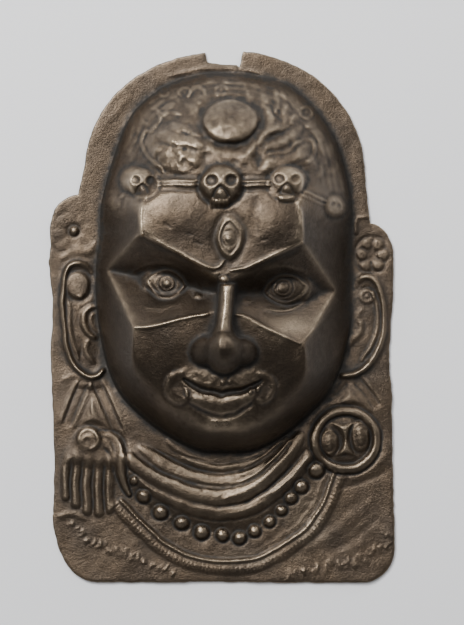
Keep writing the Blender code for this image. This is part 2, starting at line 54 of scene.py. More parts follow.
bl_info = {
    "name": "Processional Mask",
    "version": (1, 0, 0),
    "blender": (4, 5, 0),
    "location": "View3D > Sidebar > Mask",
    "description": "Carves, colours and lights a processional mask",
    "category": "Object",
}

SHEET_MODULES = 300.0
FLOOR_RISE = -0.45  # no groove goes deeper into the flat sheet than this rise
BEVEL_WIDTH = 1.1  # modules over which the front is rounded off at the rim
BEVEL_DEPTH = 0.0005  # metres that the front drops there


# Curves

def spline(points, closed=False, steps=6):
    """A curve through the points whose slope at each is that of the chord past it."""
    p = np.asarray(points, float)
    if closed:
        p = np.vstack([p[-1], p, p[0], p[1]])
    else:
        p = np.vstack([2 * p[0] - p[1], p, 2 * p[-1] - p[-2]])
    t = np.linspace(0, 1, steps, endpoint=False)[:, None]
    runs = []
    for a, b, c, d in zip(p[:-3], p[1:-2], p[2:-1], p[3:]):
        bend = (c - a) * t + (2 * a - 5 * b + 4 * c - d) * t**2 + (3 * b - a - 3 * c + d) * t**3
        runs.append(b + 0.5 * bend)
    runs.append(runs[0][:1] if closed else p[-2:-1])
    return np.vstack(runs)


def arc(centre, radii, start, end, steps=16, power=2.0):
    """Part of an ellipse, angles in degrees; a power over 2 squares its corners."""
    angle = np.radians(np.linspace(start, end, steps))
    cos, sin = np.cos(angle), np.sin(angle)
    x = centre[0] + radii[0] * np.sign(cos) * np.abs(cos) ** (2 / power)
    y = centre[1] + radii[1] * np.sign(sin) * np.abs(sin) ** (2 / power)
    return np.column_stack([x, y])


def almond(centre, length, width, tilt, steps=16):
    """A closed eye shape: half its length and width, turned by tilt degrees."""
    u = np.linspace(-1, 1, steps)
    upper = np.column_stack([u * length, width * (1 - u * u) ** 0.85])
    loop = np.vstack([upper, -upper[1:]])
    angle = math.radians(tilt)
    cos, sin = math.cos(angle), math.sin(angle)
    return loop @ np.array([[cos, sin], [-sin, cos]]) + centre


def hanging_curve(left, low, right):
    """A line that sags from one end through its lowest point to the other end."""
    (x0, y0), (x1, y1), (x2, y2) = left, low, right
    x = np.linspace(x0, x2, 17)
    span = np.where(x < x1, x1 - x0, x2 - x1)
    height = np.where(x < x1, y0 - y1, y2 - y1)
    return np.column_stack([x, y1 + height * (np.abs(x - x1) / span) ** 1.9])


def offset(path, by):
    """The path moved sideways, to its left where by is positive."""
    path = np.asarray(path, float)
    ahead = np.gradient(path, axis=0)
    ahead /= np.maximum(np.hypot(*ahead.T), 1e-9)[:, None]
    return path + np.reshape(by, (-1, 1)) * np.column_stack([-ahead[:, 1], ahead[:, 0]])


# Surfaces

def smooth_max(a, b, blend):
    """The higher of two rises, with a fillet where they are less than blend apart."""
    overlap = np.maximum(blend - np.abs(a - b), 0) / blend
    return np.maximum(a, b) + overlap**2 * blend / 4


def smooth_min(a, b, blend):
    """The lower of two rises, with their edge rounded in the same way."""
    return -smooth_max(-a, -b, blend)


def smooth_step(low, high, value):
    """0 up to low, 1 from high on, and the curve t * t * (3 - 2 t) between them."""
    t = np.clip((value - low) / (high - low), 0, 1)
    return t * t * (3 - 2 * t)


def plane(x, y, a, b, c):
    """Rise of the plane through three points (x, y, rise)."""
    a, b, c = (np.array(p, float) for p in (a, b, c))
    n = np.cross(b - a, c - a)
    return a[2] - (n[0] * (x - a[0]) + n[1] * (y - a[1])) / n[2]


def spots(x, y, places):
    """The sum of soft round spots: strength * exp(-u^2 - v^2), u and v in half sizes."""
    return sum(strength * np.exp(-(((x - x0) / wide) ** 2) - ((y - y0) / high) ** 2)
               for x0, y0, wide, high, strength in places)


def inside_by(x, y, loop):
    """Distance from a closed loop, positive inside it."""
    loop = np.asarray(loop, float)
    if np.any(loop[0] != loop[-1]):
        loop = np.vstack([loop, loop[:1]])
    nearest = np.full(x.shape, np.inf)
    inside = np.zeros(x.shape, bool)
    for (ax, ay), (bx, by) in zip(loop[:-1], loop[1:]):
        ex, ey = bx - ax, by - ay
        square = max(ex * ex + ey * ey, 1e-12)
        t = np.clip(((x - ax) * ex + (y - ay) * ey) / square, 0, 1)
        nearest = np.minimum(nearest, (x - ax - t * ex) ** 2 + (y - ay - t * ey) ** 2)
        if ay != by:
            inside ^= ((ay > y) != (by > y)) & (x < ax + (y - ay) * ex / (by - ay))
    nearest = np.sqrt(nearest)
    return np.where(inside, nearest, -nearest)


def unevenness(x, y, cell, seed):
    """Smooth chance values from -1 to 1: a square net of them, eased from knot to knot."""
    chance = np.random.default_rng(seed)
    u, v = (x - x.min()) / cell, (y - y.min()) / cell
    net = chance.uniform(-1, 1, (int(v.max()) + 2, int(u.max()) + 2))
    i, j = v.astype(int), u.astype(int)
    s, t = v - i, u - j
    s, t = s * s * (3 - 2 * s), t * t * (3 - 2 * t)
    low = net[i, j] * (1 - t) + net[i, j + 1] * t
    high = net[i + 1, j] * (1 - t) + net[i + 1, j + 1] * t
    return low * (1 - s) + high * s


def soften(values, width):
    """The values averaged with their neighbours: a bell of that width, in lattice points."""
    reach = int(3 * width) + 1
    k = np.exp(-0.5 * (np.arange(-reach, reach + 1) / width) ** 2)
    k /= k.sum()
    padded = np.pad(values, reach, mode="edge")
    rows, columns = values.shape
    across = sum(w * padded[:, n:n + columns] for n, w in enumerate(k))
    return sum(w * across[n:n + rows] for n, w in enumerate(k))


class Relief:
    """The rise of the metal, in modules, at every point of a lattice."""

    def __init__(self, xs, ys):
        self.xs, self.ys = xs, ys
        self.x, self.y = np.meshgrid(xs, ys)
        self.rise = np.zeros_like(self.x)

    def window(self, points, reach):
        """Rows and columns of the lattice that lie round the points."""
        low, high = np.min(points, 0) - reach, np.max(points, 0) + reach
        rows = slice(*np.searchsorted(self.ys, (low[1], high[1])))
        columns = slice(*np.searchsorted(self.xs, (low[0], high[0])))
        return rows, columns

    def at(self, x, y):
        """The rise at the lattice point nearest to (x, y)."""
        return self.rise[np.abs(self.ys - y).argmin(), np.abs(self.xs - x).argmin()]

    def follow(self, path, where):
        """Distance from a path, how far along it (0 to 1), and how far to its left."""
        x, y = self.x[where], self.y[where]
        nearest = np.full(x.shape, np.inf)
        along, side = np.zeros(x.shape), np.zeros(x.shape)
        lengths = np.maximum(np.hypot(*np.diff(path, axis=0).T), 1e-9)
        done = 0.0
        for (ax, ay), (bx, by), length in zip(path[:-1], path[1:], lengths):
            ex, ey = (bx - ax) / length, (by - ay) / length
            t = np.clip((x - ax) * ex + (y - ay) * ey, 0, length)
            d = np.hypot(x - ax - t * ex, y - ay - t * ey)
            closer = d < nearest
            nearest[closer] = d[closer]
            along[closer] = (done + t[closer]) / lengths.sum()
            side[closer] = ((y - ay) * ex - (x - ax) * ey)[closer]
            done += length
        return nearest, np.clip(along, 0, 1), side

    def ridge(self, path, half_width, height, taper=0.0, moat=0.0, sharpness=1.2, root=0.0):
        """A raised line, or a groove where height is negative, with a moat cut beside it.
        Root is the share of its length over which it grows out of the ground."""
        path = np.asarray(path, float)
        where = self.window(path, half_width * 2.2 + 1)
        away, along, _ = self.follow(path, where)
        narrow = 1 - taper + taper * np.sqrt(4 * along * (1 - along))
        t = away / (half_width * narrow)
        section = np.maximum(1 - t * t, 0) ** sharpness * (0.35 + 0.65 * narrow)
        if root:
            section *= smooth_step(0, root, along)
        self.rise[where] += height * section - moat * np.exp(-(((t - 1.25) / 0.3) ** 2))

    def lines(self, *rows):
        """Ridges along smooth curves. A row has points, half width and height, and then, as far
        as it needs them, taper, moat, sharpness and root."""
        for points, *sizes in rows:
            self.ridge(spline(points), *sizes)

    def lay(self, path, half_width, height, root=0.3, tip=0.7, moat=0.6, strands=0, over=None):
        """A rounded lock laid over what is there, with grooves along it if it has strands."""
        path = np.asarray(path, float)
        where = self.window(path, half_width * 2 + 1)
        away, along, side = self.follow(path, where)
        width = half_width * (1 - root * (1 - along) ** 3) * (1 - tip * along**3)
        t = away / width
        ground = self.broad[where] if over is None else over
        swell = np.maximum(1 - t * t, 0) ** 0.8 * (0.4 + 0.6 * width / half_width)
        body = ground + height * swell
        if strands:
            body += 0.28 * np.cos(math.pi * strands * side / width) * np.maximum(1 - t**4, 0)
        under = self.rise[where] - moat * np.exp(-(((t - 1.2) / 0.32) ** 2))
        self.rise[where] = np.where(t < 1, smooth_max(under, body, 0.5), under)

    def dome(self, centre, radii, height, power=2.0, steepness=0.5, tilt=0.0, moat=0.0):
        """A raised oval, or a pit where height is negative."""
        where = self.window([centre], max(radii) * 1.8 + 1)
        angle = math.radians(tilt)
        dx, dy = self.x[where] - centre[0], self.y[where] - centre[1]
        u = (dx * math.cos(angle) + dy * math.sin(angle)) / radii[0]
        v = (dy * math.cos(angle) - dx * math.sin(angle)) / radii[1]
        t = (np.abs(u) ** power + np.abs(v) ** power) ** (1 / power)
        section = np.maximum(1 - t**2, 0) ** steepness
        self.rise[where] += height * section - moat * np.exp(-(((t - 1.15) / 0.16) ** 2))

    def ball(self, centre, radii, blend, tilt=0.0, lean=0.0, pitch=0.0):
        """Joins on an ellipsoid round (x, y, rise); lean tips it along x and pitch along y."""
        where = self.window([centre[:2]], max(radii[:2]) * 1.5 + 1)
        angle = math.radians(tilt)
        dx, dy = self.x[where] - centre[0], self.y[where] - centre[1]
        u = (dx * math.cos(angle) + dy * math.sin(angle)) / radii[0]
        v = (dy * math.cos(angle) - dx * math.sin(angle)) / radii[1]
        q = 1 - u * u - v * v
        top = np.where(q > 0, radii[2] * np.sqrt(np.maximum(q, 0)), radii[2] * 2 * q)
        top = centre[2] + top + lean * dx + pitch * dy
        self.rise[where] = smooth_max(self.rise[where], top, blend)

    def patch(self, loop, edge, height):
        """A flat raised shape whose sides slope over the width of its edge."""
        loop = np.asarray(loop, float)
        where = self.window(loop, 1)
        depth = inside_by(self.x[where], self.y[where], loop)
        self.rise[where] += height * smooth_step(0, edge, depth)

    def studs(self, path, pitch, radius, height):
        """A row of round studs along a path."""
        where = self.window(path, radius + 1)
        away, along, side = self.follow(path, where)
        run = along * np.hypot(*np.diff(path, axis=0).T).sum() / pitch
        t = np.hypot((run - np.round(run)) * pitch, side) / radius
        stud = height * np.sqrt(np.maximum(1 - t * t, 0))
        self.rise[where] += np.where(away < radius, stud, 0)


# Outline of the sheet and of the head

def sheet_outline():
    """The edge of the sheet, with its broken notch at the top and its unequal shoulders."""
    notch = [(11, 146.8), (9.9, 141), (8.6, 142.2), (0, 142.5), (-7.9, 143.7), (-8.6, 146.5)]
    right_side = [(97.4, -100), (96.6, -70), (96.4, -45), (94.8, -25), (95.8, -4), (97, 12)]
    left_side = [(-96.8, 40), (-98, 30), (-95.6, 10), (-95.8, -5), (-96.8, -15), (-96, -40),
                 (-94.5, -85)]
    runs = [
        arc((-70, -112), (25.5, 38.5), 180, 270, 12),
        [(0, -150), (40, -150.5)],
        arc((79, -131), (19, 19.5), 270, 360, 10),
        right_side,
        arc((84, 33), (13.2, 20), 0, 88, 9),
        [(83.6, 57), (82, 70)],
        arc((2, 77.5), (79.3, 73), 2, 83.5, 22, 2.12),
        notch,
        arc((2, 77.5), (80, 72), 97, 176, 22, 2.15),
        arc((-80.5, 50), (16.5, 19), 92, 180, 9),
        left_side,
    ]
    edge = np.vstack([np.asarray(run, float) for run in runs])
    middle = (edge.min(0) + edge.max(0)) / 2
    return (edge - middle) * SHEET_MODULES / np.ptp(edge[:, 1])


def torn_outline():
    """The outline with the small nicks and waves of a hand-cut edge, a point every module."""
    edge = sheet_outline()
    loop = np.vstack([edge, edge[:1]])
    length = np.concatenate([[0], np.cumsum(np.hypot(*np.diff(loop, axis=0).T))])
    stations = np.union1d(length[:-1], np.arange(0, length[-1], 1.0))
    rim = np.column_stack([np.interp(stations, length, loop[:, k]) for k in (0, 1)])
    along = np.column_stack([stations, stations])
    inward = 0.2 + 0.3 * unevenness(along[:, :1], along[:, 1:], 7, 3)[:, 0]
    inward += 0.12 * unevenness(along[:, :1], along[:, 1:], 2.1, 4)[:, 0]
    return offset(rim, np.maximum(inward, 0))


HEAD = [(5, 138), (26, 134.5), (45, 125), (65, 98), (74.5, 55), (75, 25), (72, -8), (62, -40),
        (40, -63.5), (19, -75.6), (2, -77.2), (-15, -75), (-42, -59), (-61, -36), (-70, 5),
        (-69.5, 40), (-66, 70), (-53, 109), (-36, 127), (-14, 136.5)]

# Rise of the middle of the face, from the chin up over the forehead to the back of the crown
PROFILE = [(-80, 1), (-74, 24), (-68, 37), (-60, 42.5), (-50, 45.2), (-42, 46.8), (-20, 49.6),
           (0, 52), (18, 54.5), (30, 56.5), (45, 57.5), (60, 57), (73, 55), (96, 47.5),
           (109, 39.5), (120, 30), (129, 18), (135, 7), (139, 0)]


# The head

def head(form):
    """Broad planes: the lowest of the profile, the two cheeks and the rounded wall."""
    x, y = form.x, form.y
    depth_in = inside_by(x, y, spline(HEAD, closed=True))
    profile = spline(PROFILE, steps=8)
    front = np.interp(y, profile[:, 0], profile[:, 1])
    front -= (2 + 4 * smooth_step(20, 55, y)) * (np.abs(x - 2) / 45) ** 2.2
    crown = smooth_step(48, 86, y)
    jaw = smooth_step(-20, -50, y)
    round_over = 20 + 32 * crown + 6 * jaw  # modules over which the wall turns into the front
    wall = (52 + 2 * crown) * np.sin(math.pi / 2 * np.clip(depth_in / round_over, 0, 1)) ** 0.8
    left_cheek = 48.6 + 2.2 * (x + 48.8 - 3 * smooth_step(25, 50, y))
    right_cheek = 48.6 - 1.8 * (x - 45.8)
    soft = 1.5 + 9 * jaw
    flat_sides = smooth_min(smooth_min(front, left_cheek, soft), right_cheek, soft)
    flat_sides = smooth_min(flat_sides, wall, 2 + 20 * smooth_step(-8, -45, y))
    round_sides = smooth_min(front, wall, 14)
    form.rise = flat_sides + (round_sides - flat_sides) * crown
    form.rise += spots(x, y, ((-20, 56, 17, 13, 1.5),))  # swellings of the forehead
    form.rise += spots(x, y, ((28, 51, 11, 11, 1.8),))
    return depth_in


def sockets(form):
    """Each eye lies in a valley of two planes that meet under the brow."""
    x, y = form.x, form.y
    corners = [
        [(-45, 46, 49), (-5, 27, 56), (-66, 27, 13), (-49.2, -5.8, 48.2), (-7, 2.1, 51.7)],
        [(45.5, 41, 49), (8, 26.5, 56), (70.5, 15, 12), (44, -14.5, 48.2), (8, 1.6, 51.8)],
    ]
    for brow_outer, brow_inner, temple, cheek, nose_side in corners:
        above = plane(x, y, brow_outer, brow_inner, temple)
        below = plane(x, y, temple, cheek, nose_side)
        form.rise = smooth_min(form.rise, smooth_max(above, below, 3), 0.9)


def seat(form, depth_in):
    """The head sits on the flat sheet, and the neck swells below the chin."""
    out = np.maximum(-depth_in, 0)
    swell = 3.6 * np.exp(-((out / 28) ** 2)) * smooth_step(-20, -60, form.y)
    raised = smooth_max(form.rise, swell, 3)
    form.rise = np.where(depth_in > 0, np.maximum(raised, 0), swell)


def nose(form):
    """A half-round bridge from between the brows, a broad tip, and a wing on either side."""
    down = np.clip((19 - form.y) / 36, 0, 1)
    half_width = 3.8 + 4.6 * smooth_step(0.6, 1.05, down)
    crest = 56.5 + 12 * down**1.25
    q = 1 - ((form.x - 3.4 + 2.9 * down) / half_width) ** 2
    bar = crest - half_width + np.where(q > 0, half_width * np.sqrt(np.maximum(q, 0)), 14 * q)
    bar -= 90 * (1 - smooth_step(21, 18, form.y) * smooth_step(-26, -18, form.y))
    form.rise = smooth_max(form.rise, bar, 2)
    form.ball((1.6, -19.8, 52.5), (10.4, 12, 18.5), 6, pitch=0.5)
    form.ball((-8, -18.8, 47.5), (9.8, 7.8, 14), 12, tilt=12, lean=0.4, pitch=0.4)
    form.ball((11, -19.2, 47.5), (9.4, 7.6, 14), 12, tilt=-10, lean=-0.4, pitch=0.4)


def nose_marks(form):
    """The knob at the root, the worn streak down the bridge and the grooves of the wings."""
    form.dome((1.4, 20.6), (2.7, 2.6), 2.2, moat=0.5)
    form.ball((1.8, -19.6, 48), (14.5, 9.5, 17), 6, pitch=0.5)
    form.ridge([(-2.4, 24.2), (1.8, 23.6), (5.8, 24.4)], 1.2, 0.5)
    form.ridge(spline([(2.6, 14), (2.2, 4), (0.6, -6), (-1.2, -15), (-1, -21)]), 1.5, 0.7,
               taper=0.6)
    for wing, start, end in (((-8.6, -19), 60, 235), ((11.8, -19.6), -55, 120)):
        form.ridge(arc(wing, (8.8, 7.4), start, end, 14), 1.2, -0.2, taper=0.5)


def brows(form):
    """Thin raised edges where the planes of brow, temple and cheek meet."""
    edges = [
        ([(-50.5, 42.6), (-47.8, 44.6), (-44.2, 45.9)], 1.2, 0.9),
        ([(-44.2, 45.9), (-41.4, 44.4), (-33, 40.4), (-25.7, 36.9), (-17, 32.4), (-9.9, 28.8),
          (-4.6, 26.8), (-0.8, 28), (1.5, 31)], 1.35, 1.6),
        ([(-44.4, 45), (-45.4, 51), (-45, 58), (-43.5, 65)], 1.3, 1.2),
        ([(45.7, 41.2), (38, 38.2), (28, 34), (18, 29.6), (12, 27.2), (5, 26)], 1.3, 1.5),
        ([(45.5, 40.6), (45.8, 48), (44.4, 56), (42, 64)], 1.2, 1.2),
        ([(-57.2, 6.4), (-53, 0), (-49.2, -5.8)], 1.0, 0.7),
        ([(-49.2, -5.8), (-44, -5.6), (-36.2, -4.6), (-20.4, -0.4), (-7.2, 2.1)], 1.2, 1.3),
        ([(66, 10), (60, 3), (55, -4), (50, -8.6), (43.6, -14.6)], 1.0, 0.6),
        ([(43.6, -14.6), (30, -8.4), (20, -3), (13, 0.6), (8, 1.6)], 1.2, 1.1),
    ]
    for path, half_width, height in edges:
        form.ridge(spline(path), half_width, height, taper=0.35)
    form.lines(
        ([(-42, 41.5), (-26, 34.3), (-10, 26.4)], 1.5, -0.5, 0.5),
        ([(43, 36.8), (28, 31), (12, 24.6)], 1.5, -0.5, 0.5))


def forehead(form):
    """Shallow hollows below the crown and a few short marks of the tool."""
    form.lines(
        ([(20, 66), (18.5, 55), (20, 46)], 3.4, -0.5, 0.6),
        ([(-2, 66), (2, 60.5), (6, 66)], 1.6, -0.5))
    for start, end in (((-15.2, 41.8), (-10.4, 40.2)), ((-20, 46.4), (-15.8, 45.2)),
                       ((-32, 52), (-28, 49.6)), ((22, 42), (26.5, 43.6))):
        form.ridge([start, end], 0.7, -0.45, taper=0.4)


def eyes(form):
    """Each eye is a low ball with a grooved lid, an almond rim and a ringed iris."""
    left = ((-31, 18.5), (13.5, 9.6), (-30.4, 18.8), -6, 5.0)
    right = ((36, 15.3), (14.6, 9.8), (34.4, 16.4), 6, 5.6)
    for centre, lid, iris, tilt, size in (left, right):
        lean = -0.2 * math.copysign(1, centre[0])
        form.ball((*centre, form.at(*centre) - 0.2), (*lid, 5.2), 2.5, tilt, lean)
        form.ridge(almond(centre, lid[0] - 1, lid[1] - 0.6, tilt), 1.2, -0.8)
        form.ridge(almond(centre, lid[0] - 2.9, lid[1] - 2.3, tilt), 1.1, 0.35)
        form.ridge(almond(centre, lid[0] - 4.2, lid[1] - 3.5, tilt), 0.8, -0.45)
        form.dome(iris, (size, size * 0.94), 0.8, steepness=0.5)
        for share in (1.02, 0.62):
            form.ridge(arc(iris, (size * share, size * share * 0.94), 0, 360, 24), 0.8, -0.7)
        form.dome(iris, (size * 0.36, size * 0.34), 0.25)
    form.ridge(spline([(-50, 24), (-43, 28), (-35, 30), (-27, 29), (-20, 26)]), 1.6, 0.5,
               taper=0.5)
    form.dome((-12.8, 12.1), (2.8, 2.2), 0.8, steepness=0.9, moat=0.3)
    form.ridge([(-17, 15.6), (-13.8, 13.6)], 1.3, 0.4, taper=0.4)
    form.ridge(spline([(-14.6, 10), (-9.4, 10.4), (-6, 13)]), 1.0, -0.3, taper=0.4)
    form.ridge([(-13.4, 19.6), (-10, 15)], 1.0, 0.5, taper=0.4)
    form.lines(
        ([(25, 5), (31, 3.4), (37, 3.6), (45, 7), (50, 12)], 1.1, 0.8, 0.5),
        ([(24, 3.2), (32, 1.4), (40, 2.6)], 1.4, -0.4, 0.5),
        ([(-44, 6), (-34, 5), (-22, 8)], 1.2, 0.35, 0.5),
        ([(18, 21), (26, 27), (36, 28.4), (47, 25)], 1.5, 0.45, 0.5))
    form.dome((14.4, 9.6), (2.8, 2.6), 0.5, steepness=0.9, moat=0.2)


def third_eye(form):
    """An upright almond with a grooved rim and a ringed iris."""
    centre, iris = (4.7, 43.9), (4.2, 43.7)
    form.dome(centre, (8.2, 12.6), 1.5, power=1.6, steepness=0.4, moat=0.5)
    form.ridge(almond(centre, 10.6, 6.3, 90), 1.1, 0.55)
    form.ridge(almond(centre, 8.4, 4.8, 90), 0.7, -0.35)
    form.dome(iris, (4, 4), 0.6, steepness=0.5)
    for radius in (4, 2.4):
        form.ridge(arc(iris, (radius, radius), 0, 360, 20), 0.7, -0.5)
    form.dome(iris, (1.4, 1.4), 0.5)
    form.dome((4.6, 36.6), (1.6, 1.2), 0.3)


def mouth(form):
    """A bowed, parted mouth whose corners end in curls, each over a fang."""
    form.dome((0, -41), (34, 20), 2.6, steepness=1.6)
    form.lines(
        ([(-22, -31), (-13, -32.4), (-5, -33.4), (-1.8, -33)], 5.2, 0.5, 0.3, 0, 1.7),
        ([(25, -30.4), (17, -31.6), (9, -33.6), (3.8, -33.6)], 5, 0.4, 0.3, 0, 1.7),
        ([(-20, -33.4), (-13, -36), (-8.7, -37), (-4.2, -36), (-2.9, -32.6)], 1.0, 0.45),
        ([(4.6, -33.8), (9, -37), (14, -37), (20, -34)], 1.0, 0.3))
    parting = [(-20.7, -34.6), (-12, -40), (-2.4, -41.8), (-0.3, -43), (2.8, -42.2),
               (10.2, -41.2), (19.7, -37), (22.4, -35.2)]
    form.ridge(spline(parting), 2.2, -3, taper=0.5, sharpness=0.9)
    form.dome((1.8, -32.8), (1.3, 2.6), 0.8)
    form.dome((4.4, -36.2), (1.1, 1.4), 0.9)
    form.dome((0.6, -36.6), (1.2, 1.2), 0.9)
    form.lines(
        ([(-3, -30.5), (-3.4, -34.4)], 0.8, -0.5, 0.3),
        ([(-16, -45.4), (0, -49.6), (16, -44.6)], 5, 1.5, 0.4, 0, 1.4),
        ([(-15.4, -48), (-9, -51.6), (-1.4, -53), (8, -51.6), (14, -47.6)], 1.3, 0.4, 0.5),
        ([(-17.4, -48.6), (-8.7, -54), (-1.4, -56), (7, -54.8), (12.4, -52),
          (17, -48.6)], 2.8, -1.1, 0.4, 0, 2),
        ([(10, -57), (16, -55), (20, -57.4)], 1.0, -0.4, 0.5))
    curls = (([(-21.4, -31), (-26.2, -32.1), (-29.6, -35.9), (-30.1, -41.4), (-27.8, -45.6),
               (-23.6, -47.4), (-20, -45.6), (-18.8, -42.4)], -1),
             ([(20.6, -31.6), (24.8, -32.6), (28, -35.9), (28.4, -41.4), (26, -45.6),
               (22.2, -47.2), (18.4, -44.8)], 1))
    for path, side in curls:
        form.ridge(spline(path), 1.8, 0.6, taper=0.5, sharpness=1.2)
        form.ridge(offset(spline(path), side * 2.5), 1.3, -0.4, taper=0.5)
    form.dome((-24.6, -39.4), (3.6, 5), -0.6, steepness=1.3)
    form.dome((23.8, -39.2), (3.2, 4.8), -0.6, steepness=1.3)
    for fang, lean in (((-19.2, -42.2), 12), ((20.6, -39.4), -12), ((16, -40.8), 0)):
        form.dome(fang, (1.3, 2.4), 1.5, power=1.6, tilt=lean, moat=0.3)
    form.dome((2, -62), (19, 9), 1.8, steepness=1.8)
    x, y = form.x, form.y
    rough = smooth_step(34, 24, np.abs(x + 1)) * smooth_step(-26, -30, y)
    rough = rough * smooth_step(-72, -62, y)
    form.rise += rough * (0.22 * unevenness(x, y, 2.4, 51) + 0.12 * unevenness(x, y, 1.3, 52))


# The crown of skulls and the hair

def skull(form, centre, size, swell, turn=0.0, cut=1.0):
    """A small skull: its sizes are shares of its own radius."""
    cx, cy = centre
    ground = form.at(cx, cy)
    form.ball((cx, cy, ground - size * 0.25), (size, size * 0.97, size * swell), 0.8)
    form.ridge(arc(centre, (size * 1.06, size), -205, 25, 30), size * 0.12, -0.9 * cut)
    unit = size / 12
    cx += turn * unit
    for side in (-1, 1):
        eye = (cx + side * 5.3 * unit, cy + 2.6 * unit)
        form.ridge(arc(eye, (4.3 * unit, 4.2 * unit), 0, 360, 20), 1.5 * unit, 0.45 * cut)
        form.dome(eye, (3.4 * unit, 3.3 * unit), -3.2 * unit * cut, steepness=0.9)
        form.dome(eye, (1.7 * unit, 1.7 * unit), 0.9 * unit * cut)
        cheek = (cx + side * 6.4 * unit, cy - 4.2 * unit)
        form.dome(cheek, (2.6 * unit, 2.2 * unit), 0.8 * unit * cut, steepness=1)
    bridge = np.array([(-4.6, -6), (-2.8, -2.4), (-0.5, -0.8), (1.9, -2.4), (3.8, -6)]) * unit
    form.ridge(spline(bridge + (cx, cy)), 1.0 * unit, -1.5 * unit * cut)
    form.dome((cx - 0.4 * unit, cy - 5.2 * unit), (3 * unit, 3 * unit), 1.2 * unit * cut)
    jaw = (cx - unit, cy - 10 * unit)
    form.dome(jaw, (5.6 * unit, 2.5 * unit), 2.4 * unit, power=4)
    for n in range(5):
        x = jaw[0] + (n - 2) * 2.0 * unit
        form.ridge([(x + unit, jaw[1] + 2.2 * unit), (x + unit, jaw[1] - 2.4 * unit)],
                   0.5 * unit, -0.8 * unit * cut)


def skull_crown(form):
    """Three skulls and a worn fourth on a double band."""
    for low, high in (((-36, 75.6), (-13, 75.7)), ((11, 75.4), (27, 75.1))):
        form.lay([low, high], 1.15, 1.3, root=0, tip=0, moat=0.5)
        form.lay([(low[0], low[1] - 2), (high[0], high[1] - 2)], 1.1, 1.0, root=0, tip=0,
                 moat=0.5)
        form.ridge([(low[0], low[1] + 3), (high[0], high[1] + 3)], 1.5, -0.5, taper=0.3)
    form.lay(spline([(44, 70.4), (50, 68.4), (58, 65)]), 1.3, 0.8, root=0, tip=0.2, moat=0.3)
    form.lay(spline([(44, 67.8), (50, 65.8), (57, 62.6)]), 1.1, 0.5, root=0, tip=0.2, moat=0.2)
    form.lay([(-51, 71), (-57, 67)], 1.2, 0.7, root=0, tip=0.4, moat=0.3)
    form.ridge([(-34, 70.4), (-12, 70.4)], 1.5, -0.8, taper=0.3)
    form.ridge([(11, 70.2), (27, 70.2)], 1.5, -0.8, taper=0.3)
    skull(form, (0, 73.3), 12.4, 0.78, cut=0.9)
    skull(form, (-43.4, 74.4), 8.9, 0.7, turn=-0.6, cut=0.75)
    skull(form, (35.8, 74.4), 10.2, 0.66, turn=1.2, cut=0.55)
    worn_skull = (64, 61.8)
    form.dome(worn_skull, (6.6, 6.4), 2.4, steepness=0.8, moat=0.4)
    form.ridge(arc(worn_skull, (4, 3.8), 0, 360, 20), 1.2, 0.4)
    form.dome((62.4, 63), (1.6, 1.6), -0.7)
    form.dome((66, 62.4), (1.5, 1.6), -0.7)
    form.dome((-60.5, 64), (4.2, 4.4), 0.8, steepness=0.9, moat=0.3)


def hair_ground(form, depth_in):
    """Lumps and creases under the locks: folded chance values, and strands along the sides."""
    x, y = form.x, form.y
    hairy = smooth_step(2, 8, depth_in) * smooth_step(79, 88, y + 0.1 * np.abs(x))
    crease = 0.5 - np.abs(unevenness(x + 0.3 * y, y - 0.3 * x, 10, 41))
    form.rise += hairy * (1.3 * crease + 0.6 * unevenness(x, y, 5.5, 42))
    form.rise += hairy * (0.35 * unevenness(x, y, 2.8, 45) + 0.16 * unevenness(x, y, 1.4, 46))
    bend = 2.4 * unevenness(x, y, 14, 43)
    strands = np.cos(2 * math.pi * depth_in / 3.4 + bend)
    sides = smooth_step(0, 2, depth_in) * smooth_step(20, 12, depth_in) * smooth_step(50, 66, y)
    fading = (0.34 - 0.16 * smooth_step(10, 50, x)) * sides
    form.rise += fading * strands * (0.6 + 0.8 * unevenness(x, y, 9, 44))
    form.rise += 0.3 * sides * unevenness(x, y, 3.2, 47)


